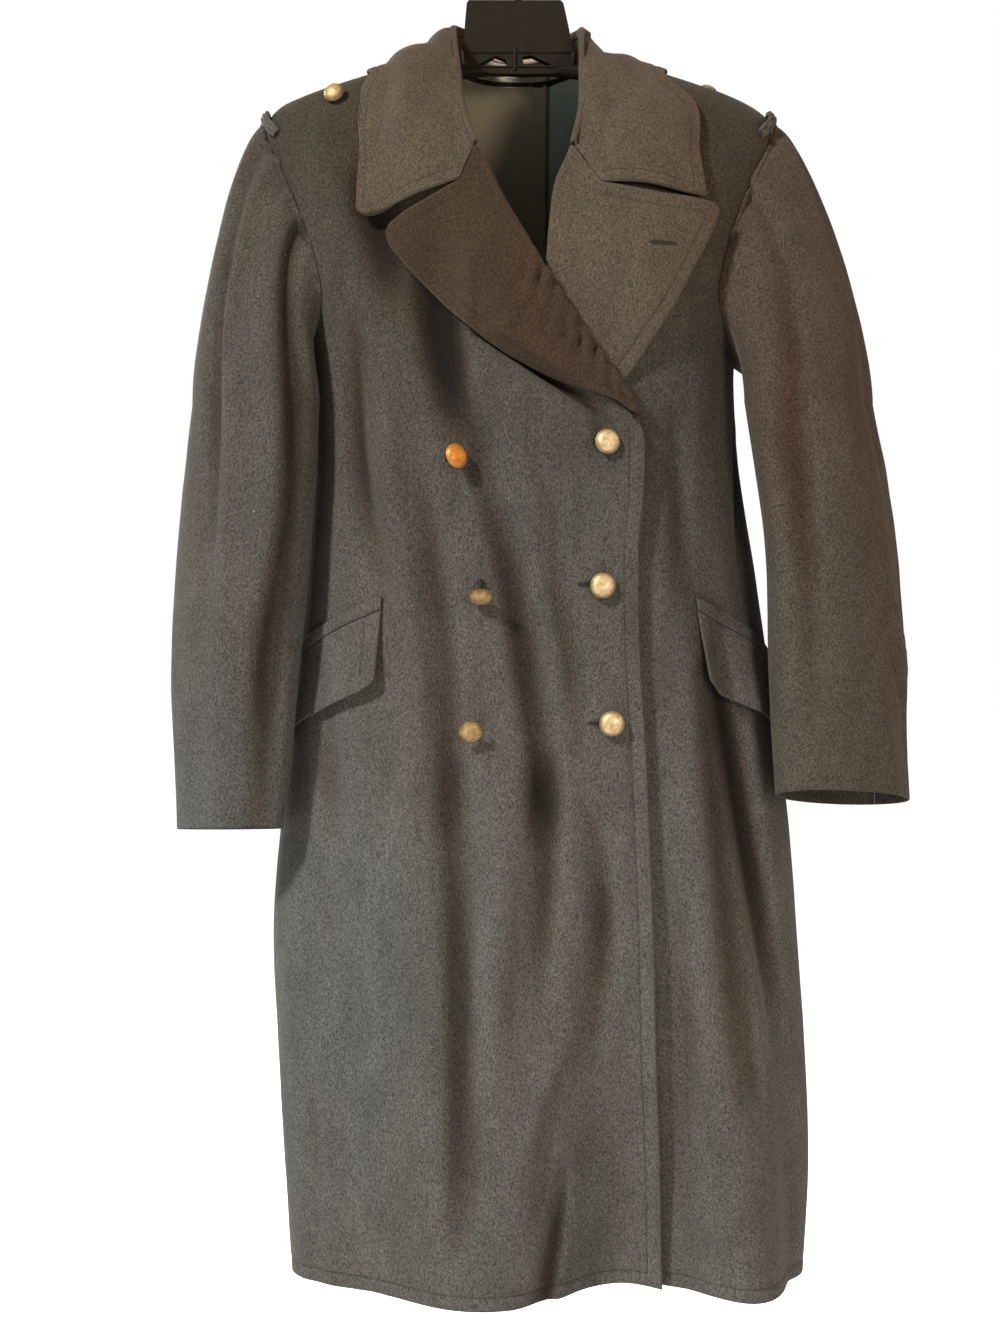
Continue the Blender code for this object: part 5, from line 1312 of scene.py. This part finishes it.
def sleeve(side):
    sign = -1 if side == "right" else 1
    armhole, outside, turn = armhole_line(sign)
    tangent = unit(np.roll(armhole, -1, axis=0) - np.roll(armhole, 1, axis=0))
    into = np.cross(tangent, outside)
    into *= np.sign((into * (armhole.mean(axis=0) - armhole)).sum(axis=1, keepdims=True))
    armhole = armhole + unit(into) * SLEEVE_SEAM_GAP

    rings = SLEEVES[side]
    first = sleeve_ring(rings, rings["drop"][0], turn, sign)
    span = np.linalg.norm(first - armhole, axis=1, keepdims=True)
    high = (1 + np.cos(turn)) / 2
    leave = np.stack([
        sign * (SLEEVE_HEAD_OUT * high + SLEEVE_UNDER_OUT * (1 - high)),
        -SLEEVE_HEAD_FRONT * np.sin(turn),
        -SLEEVE_HEAD_DOWN - SLEEVE_UNDER_DOWN * (1 - high),
    ], axis=-1) * span
    arrive = np.array([0, 0, -SLEEVE_ARRIVE]) * span
    t = spaced(0.28, PLAIN, (0.003,), 0.0050)[:, None, None]
    head = armhole * (2 * t**3 - 3 * t**2 + 1) + leave * (t**3 - 2 * t**2 + t)
    head = head + first * (3 * t**2 - 2 * t**3) + arrive * (t**3 - t**2)
    lower = rings["drop"][-1] - rings["drop"][0]
    drops = rings["drop"][0] + stations(lower, (0.003,), PLAIN, 0.0050)[1:]
    middle = np.concatenate([head, [sleeve_ring(rings, drop, turn, sign) for drop in drops]])
    middle[1:] = keep_off(middle[1:], CLOTH / 2 + SLEEVE_CLEAR)
    normals = grid_normals(middle, closed=True)
    if (normals * (middle - middle.mean(axis=1, keepdims=True))).sum(axis=2).mean() < 0:
        normals = -normals
    rise, tone = sleeve_rise(side, middle, turn)
    middle = middle + normals * rise[..., None]
    # Painted shade: the tone is lowered for the first 10 mm below the armhole seam, so the wool darkens along
    # it.
    tone = np.clip(tone - 0.5 * np.clip(1 - run_lengths(middle, 0) / 0.0100, 0, 1), -1, 1)
    front_seam, rear_seam = (int(np.argmin(np.abs(np.degrees(turn) - seam))) for seam in SLEEVE_SEAMS)
    upper = np.arange(rear_seam, front_seam + len(turn) + 1) % len(turn)
    under = np.arange(front_seam, rear_seam + 1)
    body = [f"front_{side}_cloth", "back_cloth"]
    for part, columns, flat, hung in (
        (f"sleeve_{side}", upper, (0.26, 0.66), body),
        (f"under_sleeve_{side}", under, (0.19, 0.60), [f"sleeve_{side}_cloth", "back_cloth"]),
    ):
        tones = tone[:, columns[[0, 0, *range(1, len(columns) - 1), -1, -1]]]
        sheet(part, between_seams(middle[:, columns]), flat, "hung", hung, f"wool_sleeve_{side}",
              tone=tones, outer=between_seams(normals[:, columns], 0.0))


def between_seams(grid, gap=SLEEVE_PANEL_GAP):
    """A sleeve's columns from seam to seam, with a close line inside each edge for its rim."""
    start, end = unit(grid[:, 1] - grid[:, 0]), unit(grid[:, -2] - grid[:, -1])
    edges = [grid[:, 0] + start * inside for inside in (gap, gap + 0.0006)]
    ends = [grid[:, -1] + end * inside for inside in (gap + 0.0006, gap)]
    return np.concatenate([np.stack(edges, 1), grid[:, 1:-1], np.stack(ends, 1)], axis=1)


def sleeve_rise(side, middle, turn):
    """The creases of a sleeve: its own folds, the gathers at its head, and chance waves."""
    around, level = np.broadcast_arrays(turn, -middle.mean(axis=1)[:, 2:])
    girth = np.linalg.norm(np.roll(middle, -1, axis=1) - middle, axis=-1).sum(axis=1, keepdims=True)
    total, tone = np.zeros(level.shape), np.zeros(level.shape)
    everywhere = np.ones(level.shape, bool)
    for fold in rows_of(SLEEVE_FOLDS[side]):
        knots = (fold["drop_top"], fold["drop_bend"], fold["drop_foot"])
        line = smooth(knots, (fold["turn_top"], fold["turn_bend"], fold["turn_foot"]), level)
        gap = (around - np.radians(line) + math.pi) % (2 * math.pi) - math.pi
        away = (gap * girth / (2 * math.pi)).ravel()
        crease(fold, level.ravel(), np.abs(away), np.sign(away),
               total.reshape(-1), tone.reshape(-1), everywhere.ravel())
    from_seam = run_lengths(middle, 0)
    gathers = np.sin(around * 30 + 2.2 * np.sin(around * 3)) * noise(middle, (0.02, 0.02, 0.05), 31)
    ease = step(from_seam / 0.006) * np.exp(-((from_seam / 0.034) ** 2))
    total += 0.0024 * gathers * ease * (0.2 + 0.8 * step(np.cos(around - 0.6) + 0.2))
    waves = 0.0022 * noise(middle, (0.075, 0.075, 0.22), 33)
    waves += 0.0011 * noise(middle, (0.034, 0.034, 0.09), 34)
    waves += 0.0004 * noise(middle, (0.015, 0.015, 0.03), 35)
    beside = step((np.cos(around - math.pi * 1.02) - 0.35) / 0.45)
    total = (total + waves * step(from_seam / 0.05)) * (1 - 0.85 * beside)
    return total, tone * (1 - 0.5 * beside)


# Pockets, loops, buttons and small things


def lay(part, side, angles, drops, out, flat, held, **shape):
    """A thin piece over a front's cloth."""
    place, away, _ = surface(angles, drops)
    lies = out + CLOTH / 2
    if side == "left":
        lies = lies + under_out(base_point(angles, drops)[..., 0], drops)
    middle = place + away * np.broadcast_to(lies, place.shape[:-1])[..., None]
    sheet(f"{part}_{side}", middle, flat, held, [f"front_{side}_cloth"], outer=away, **shape)


def pocket(side):
    shape = POCKETS[side]
    front_angle = angle_at(shape["front_x"], shape["front_drop"])
    share = spaced(FLAP_LENGTH, STITCHED, PLAIN, 0.0036)
    angle = front_angle + (math.radians(shape["rear_angle"]) - front_angle) * share
    top = shape["front_drop"] + (shape["rear_drop"] - shape["front_drop"]) * share
    depth = FLAP_DEPTH_FRONT + (FLAP_DEPTH_REAR - FLAP_DEPTH_FRONT) * share
    depth = depth - FLAP_CORNER * (1 - np.sqrt(1 - np.clip(1 - share / 0.12, 0, 1) ** 2))
    down = spaced(0.065, PLAIN, STITCHED, 0.0034)[:, None]
    drops = top + depth * down
    crush = shape["crush"] * noise(base_point(angle, drops), (0.016, 0.016, 0.030), 41) * (0.3 + down)
    crush += 0.0009 * np.sin(share * 46 + down * 5) * (1 - down) * np.exp(-((share - 0.12) / 0.08) ** 2)
    out = FLAP_GAP + FLAP_LIFT * down**1.3 * (1 - 0.6 * share) + np.abs(crush)
    from_end, from_foot = share * FLAP_LENGTH, (1 - down) * depth
    edge = np.where(from_end < from_foot, from_end, 1.0)
    # Painted shade: the crushed troughs of the flap are darkened through the tone.
    lay("flap", side, angle, drops, out, (0.15, 0.07), "hung", tone=crush / 0.004, edge=edge,
        run=down * depth)
    down = spaced(WELT_HEIGHT, PLAIN, PLAIN, 0.0024)[:, None]
    drops = top - WELT_GAP - WELT_HEIGHT * (1 - down)
    lay("welt", side, angle, drops, FLAP_GAP + WELT_ARCH * np.sin(math.pi * down), (0.14, 0.014), "laid")


def shoulder_loop(side, sign):
    """A narrow braided strap that arches over the shoulder's end beside the sleeve."""
    share = np.linspace(-1, 1, 73)
    angle = sign * math.pi / 2 + math.radians(LOOP_SPREAD) * share
    place, out, _ = surface(angle, LOOP_DROP + LOOP_FALL * share**2)
    line = place + out * (LOOP_SEAT + LOOP_ARCH * (1 - share**4))[:, None]
    ahead = unit(np.gradient(line, axis=0))
    across = unit(np.cross(out, ahead)) * LOOP_RADIUS
    up = np.cross(ahead, across)
    strands = []
    for strand in (-1, 0, 1):
        sway = 0.25 * np.sin(share * math.pi * LOOP_TWISTS + strand * 2 * math.pi / 3)
        high = sway * 0.5 + (0.0006 / LOOP_RADIUS if strand == 0 else 0.0)
        centre = line + across * (strand * 0.62 + sway * 0.5)[:, None] + up * high[:, None]
        strands.append(rings_round(centre, across * 0.42, up * 0.40, 28))
    made = tubes(f"shoulder_loop_{side}_braid", strands)
    dress(made, [f"shoulder_loop_{side}"], "braid")


def button(name, angle, drop, aside, droop, shank, finish, radius, steps=48):
    """A domed button with a rolled rim, turned about the axis that its shank stands on the cloth by."""
    place, out, _ = surface(np.array([angle]), np.array([drop]))
    axis = Vector(out[0])
    axis.rotate(Matrix.Rotation(math.radians(aside), 3, "Z"))
    axis.rotate(Matrix.Rotation(math.radians(-droop), 3, "X"))
    lean = math.sin(axis.angle(Vector(out[0])))
    foot = place[0] + out[0] * (BUTTON_GAP + SHANK_RADIUS * lean)
    dome = [(radius * share, shank + height) for share, height in BUTTON_PROFILE]
    profile = [(SHANK_RADIUS, 0.0), (SHANK_RADIUS, shank - 0.0004), (SHANK_RADIUS * 1.3, shank), *dome]
    wide, high = np.array(profile).T
    turns = np.linspace(0, 2 * math.pi, steps + 1)[:-1]
    rings = points(wide[:, None] * np.cos(turns), wide[:, None] * np.sin(turns), high[:, None])
    vertices = np.concatenate([[[0, 0, 0]], rings.reshape(-1, 3), [[0, 0, shank + BUTTON_HEIGHT]]])
    index = 1 + np.arange(rings[..., 0].size).reshape(-1, steps)
    low, top = index[0].tolist(), index[-1].tolist()
    faces = [(0, after, here) for here, after in zip(low, low[1:] + low[:1])]
    faces += bands(index)
    faces += [(here, after, len(vertices) - 1) for here, after in zip(top, top[1:] + top[:1])]
    crown = np.where(high < shank + 5e-5, -1.0, 1 - wide / radius)
    turned = Vector((0, 0, 1)).rotation_difference(axis).to_matrix()
    vertices = vertices @ np.array(turned).T + foot
    tone = np.concatenate([[-1], np.repeat(crown, steps), [1]])
    dress(mesh_piece(f"{name}_brass", vertices, faces, sharp=55, tone=tone), [name], finish)


def buttons():
    for name, shape in BUTTONS.items():
        angle = float(angle_at(shape["x"], shape["drop"]))
        shape = {label: value for label, value in shape.items() if label != "x"}
        button(name, angle, **shape, radius=BUTTON_RADIUS)
    for name, shape in SHOULDER_BUTTONS.items():
        button(name, **{**shape, "angle": math.radians(shape["angle"])}, radius=SHOULDER_BUTTON_RADIUS)


def worked_slit(name, centre, along_way, out, length):
    """A buttonhole: a low oval welt of thread round a slit."""
    thick = 0.00075
    across = unit(np.cross(out, along_way))
    turns = np.linspace(0, 2 * math.pi, 65)[:-1, None]
    oval_along = np.sign(np.cos(turns)) * np.abs(np.cos(turns)) ** 0.6 * length / 2
    line = centre + along_way * oval_along + across * np.sin(turns) * 0.0011
    ahead = unit(np.roll(line, -1, axis=0) - np.roll(line, 1, axis=0))
    grid = rings_round(line, np.cross(ahead, out) * thick, out * thick * 0.8, 8)
    index = np.arange(grid[..., 0].size).reshape(grid.shape[:2])
    made = mesh_piece(name, grid.reshape(-1, 3), bands(np.concatenate([index, index[:1]])))
    dress(made, [], "buttonhole_thread")


def buttonholes(lapels):
    for name, shape in BUTTONHOLES.items():
        x = shape["x"] + np.array([-0.5, 0.0, 0.5]) * shape["length"]
        drops = np.full(3, shape["drop"])
        place, out, _ = surface(angle_at(x, drops), drops)
        worked_slit(name, place[1] + out[1] * 0.0002, unit(place[2] - place[0]), out[1], shape["length"])
    for name, shape in LAPEL_BUTTONHOLES.items():
        middle = lapels[shape["side"]]
        gaps = np.linalg.norm(middle[..., [0, 2]] - [shape["x"], -shape["drop"]], axis=-1)
        gaps[:, :ROLL_COLUMNS] = 1.0
        at = np.unravel_index(np.argmin(gaps), gaps.shape)
        normal = grid_normals(middle)[at]
        normal = normal if normal[1] < 0 else -normal
        place = middle[at] + normal * (CLOTH / 2 + 0.0001)
        worked_slit(name, place, unit(np.cross(normal, [0, 0, 1])), normal, shape["length"])


def lining():
    """The back's lining as far as the open front shows it, with its middle pleat."""
    angles = math.pi + LINING_REACH * (2 * spaced(0.36, PLAIN, PLAIN, 0.0030) - 1)
    rows = spaced(0.40, PLAIN, PLAIN, 0.0050)[:, None]
    start = NECK_DROP + LINING_SEWN + neck_dip(angles)
    drops = start + (LINING_FOOT_DROP - start) * rows
    place, away, _ = surface(angles, drops)
    from_pleat = np.abs(base_point(angles, drops)[..., 0] - PLEAT_X + 0.003 * np.sin(drops * 14))
    pleat = PLEAT_DEPTH * np.clip(1 - from_pleat / PLEAT_WIDTH, 0, 1)
    pleat = pleat * (1 - 1.5 * np.exp(-((from_pleat / 0.0018) ** 2)))
    sewn = LINING_SEWN + (LINING_GAP - LINING_SEWN) * step(rows / 0.15)
    out = -CLOTH - sewn - pleat - LINING / 2
    out = out - 0.0012 * (1 + noise(place, (0.03, 0.03, 0.12), 51)) * step(rows / 0.2)
    sheet("lining_back", place + away * out[..., None], (0.42, 0.40), "hung", ["back_cloth"],
          "twill_lining", "lining", thickness=LINING, outer=away)


def stand_patch(name, nodes, stand, across, height, out, thickness, finish):
    """A patch on the stand's inner face, between shares of its length and of its height."""
    rows, columns = stand.shape[:2]
    down = np.linspace(*height, 9) * (rows - 1)
    aside = np.linspace(*across, 31) * (columns - 1)
    at_row, at_column = np.meshgrid(down, aside, indexing="ij")
    low, left = np.minimum(at_row.astype(int), rows - 2), np.minimum(at_column.astype(int), columns - 2)
    v, u = (at_row - low)[..., None], (at_column - left)[..., None]

    def sampled(values):
        upper = values[low, left] * (1 - u) + values[low, left + 1] * u
        lower = values[low + 1, left] * (1 - u) + values[low + 1, left + 1] * u
        return upper * (1 - v) + lower * v

    lean = unit(sampled(grid_normals(stand)))
    inward = lean if lean[4, 15, 1] <= 0 else -lean
    made = shell(name, sampled(stand) + inward * (CLOTH / 2 + out + thickness / 2), thickness=thickness)
    dress(made, nodes, finish)
    return made


def plate_mouldings():
    """The cross ridge and the short ribs moulded on the front of the hanger's plate."""
    ribs = []
    for rib in rows_of(PLATE_MOULDINGS):
        first, last = (np.array([rib[f"x_{end}"], PLATE_FRONT, rib[f"z_{end}"]]) for end in ("first", "last"))
        line = first + (last - first) * np.linspace(0, 1, 25)[:, None]
        across = np.cross(unit(last - first), [0, 1, 0])
        ribs.append(rings_round(line, across * rib["half"], np.array([0, rib["half"], 0]), 12))
    dress(tubes("hanger_mouldings", ribs), [], "moulded_plastic")


# The room


def studio():
    """A pale floor under a pale sky, and soft lights from the upper left."""
    scene = bpy.context.scene
    mesh = bpy.data.meshes.new("floor")
    corners = [(x, y, FLOOR_Z) for y in (-FLOOR_HALF, FLOOR_HALF) for x in (-FLOOR_HALF, FLOOR_HALF)]
    mesh.from_pydata(corners, [], [(0, 1, 3, 2)])
    floor = bpy.data.objects.new("floor", mesh)
    scene.collection.objects.link(floor)
    look = Look("pale_floor")
    seen = look.node("LightPath").outputs["Is Camera Ray"]
    look.feed(look.tree.nodes["Principled BSDF"], {
        "Base Color": look.mixed(look.patches(2.0, 3.0), (0.84, 0.84, 0.84), (0.88, 0.88, 0.88)),
        "Roughness": 0.9,
        "Specular IOR Level": 0.1,
        "Emission Color": (1, 1, 1),
        "Emission Strength": look.ranged(seen, 0.0, 1.0, FLOOR_LIT, FLOOR_GLOW),
    })
    mesh.materials.append(look.owner)

    scene.world = bpy.data.worlds.new("studio")
    sky = Look("studio", scene.world)
    seen = sky.node("LightPath").outputs["Is Camera Ray"]
    strength = sky.ranged(seen, 0.0, 1.0, SKY_LIT, SKY_GLOW)
    sky.feed(sky.tree.nodes["Background"], {"Color": (1, 1, 1), "Strength": strength})
    for name, light in LIGHTS.items():
        lamp = bpy.data.lights.new(name, "AREA")
        lamp.shape = "DISK"
        lamp.size, lamp.energy, lamp.color = light["size"], light["power"], light["tint"]
        made = bpy.data.objects.new(name, lamp)
        made.location = light["place"]
        aim = Vector((0.0, 0.0, light["aim_z"])) - Vector(light["place"])
        made.rotation_euler = aim.to_track_quat("-Z", "Y").to_euler()
        scene.collection.objects.link(made)


def camera():
    lens = bpy.data.cameras.new("camera")
    lens.sensor_fit = "VERTICAL"
    lens.sensor_height = SENSOR_HEIGHT
    lens.lens = FOCAL_PIXELS / PHOTO_HEIGHT * SENSOR_HEIGHT
    made = bpy.data.objects.new("camera", lens)
    made.location = CAMERA_PLACE
    made.rotation_euler = (math.radians(90), 0, 0)
    bpy.context.scene.collection.objects.link(made)
    bpy.context.scene.camera = made


MATERIALS = {}
COLLECTION = bpy.data.collections.new("greatcoat pieces")
bpy.context.scene.collection.children.link(COLLECTION)
bpy.context.scene.view_settings.view_transform = "Standard"

for title, tints in WOOLS.items():
    wool(title, **tints)
for title, tints in BRASSES.items():
    aged_brass(title, **tints)
lining_cloth("twill_lining")
moulded_plastic("moulded_plastic")
woven("woven_label", (0.85, 0.58, 0.34), (-0.1165, -0.1130), (0.24, 0.018, 0.014))
woven("white_tab", (0.82, 0.82, 0.80))
thread("buttonhole_thread", (0.030, 0.024, 0.018))
thread("braid", (0.088, 0.074, 0.058))

camera()
front("right")
front("left")
back()
LAPEL_MIDDLES = {"right": lapel("right"), "left": lapel("left")}
STAND = collar()
sleeve("right")
sleeve("left")
pocket("right")
pocket("left")
shoulder_loop("right", -1)
shoulder_loop("left", 1)
buttons()
buttonholes(LAPEL_MIDDLES)
lining()
stand_patch("neck_label_woven", ["neck_label"], STAND, (0.411, 0.589), (0.05, 0.425), 0.0004, 0.0006,
            "woven_label")
stand_patch("size_tab_woven", ["size_tab"], STAND, (0.478, 0.502), (0.52, 0.76), 0.0020, 0.0006,
            "white_tab")
STAND_LINING = stand_patch("lining_stand_cloth", [], STAND, (0.37, 0.63), (0.45, 1.0), 0.0002, LINING,
                           "twill_lining")
plate_mouldings()
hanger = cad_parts["hanger"]
hanger.data.materials.clear()
hanger.data.materials.append(MATERIALS["moulded_plastic"])
studio()
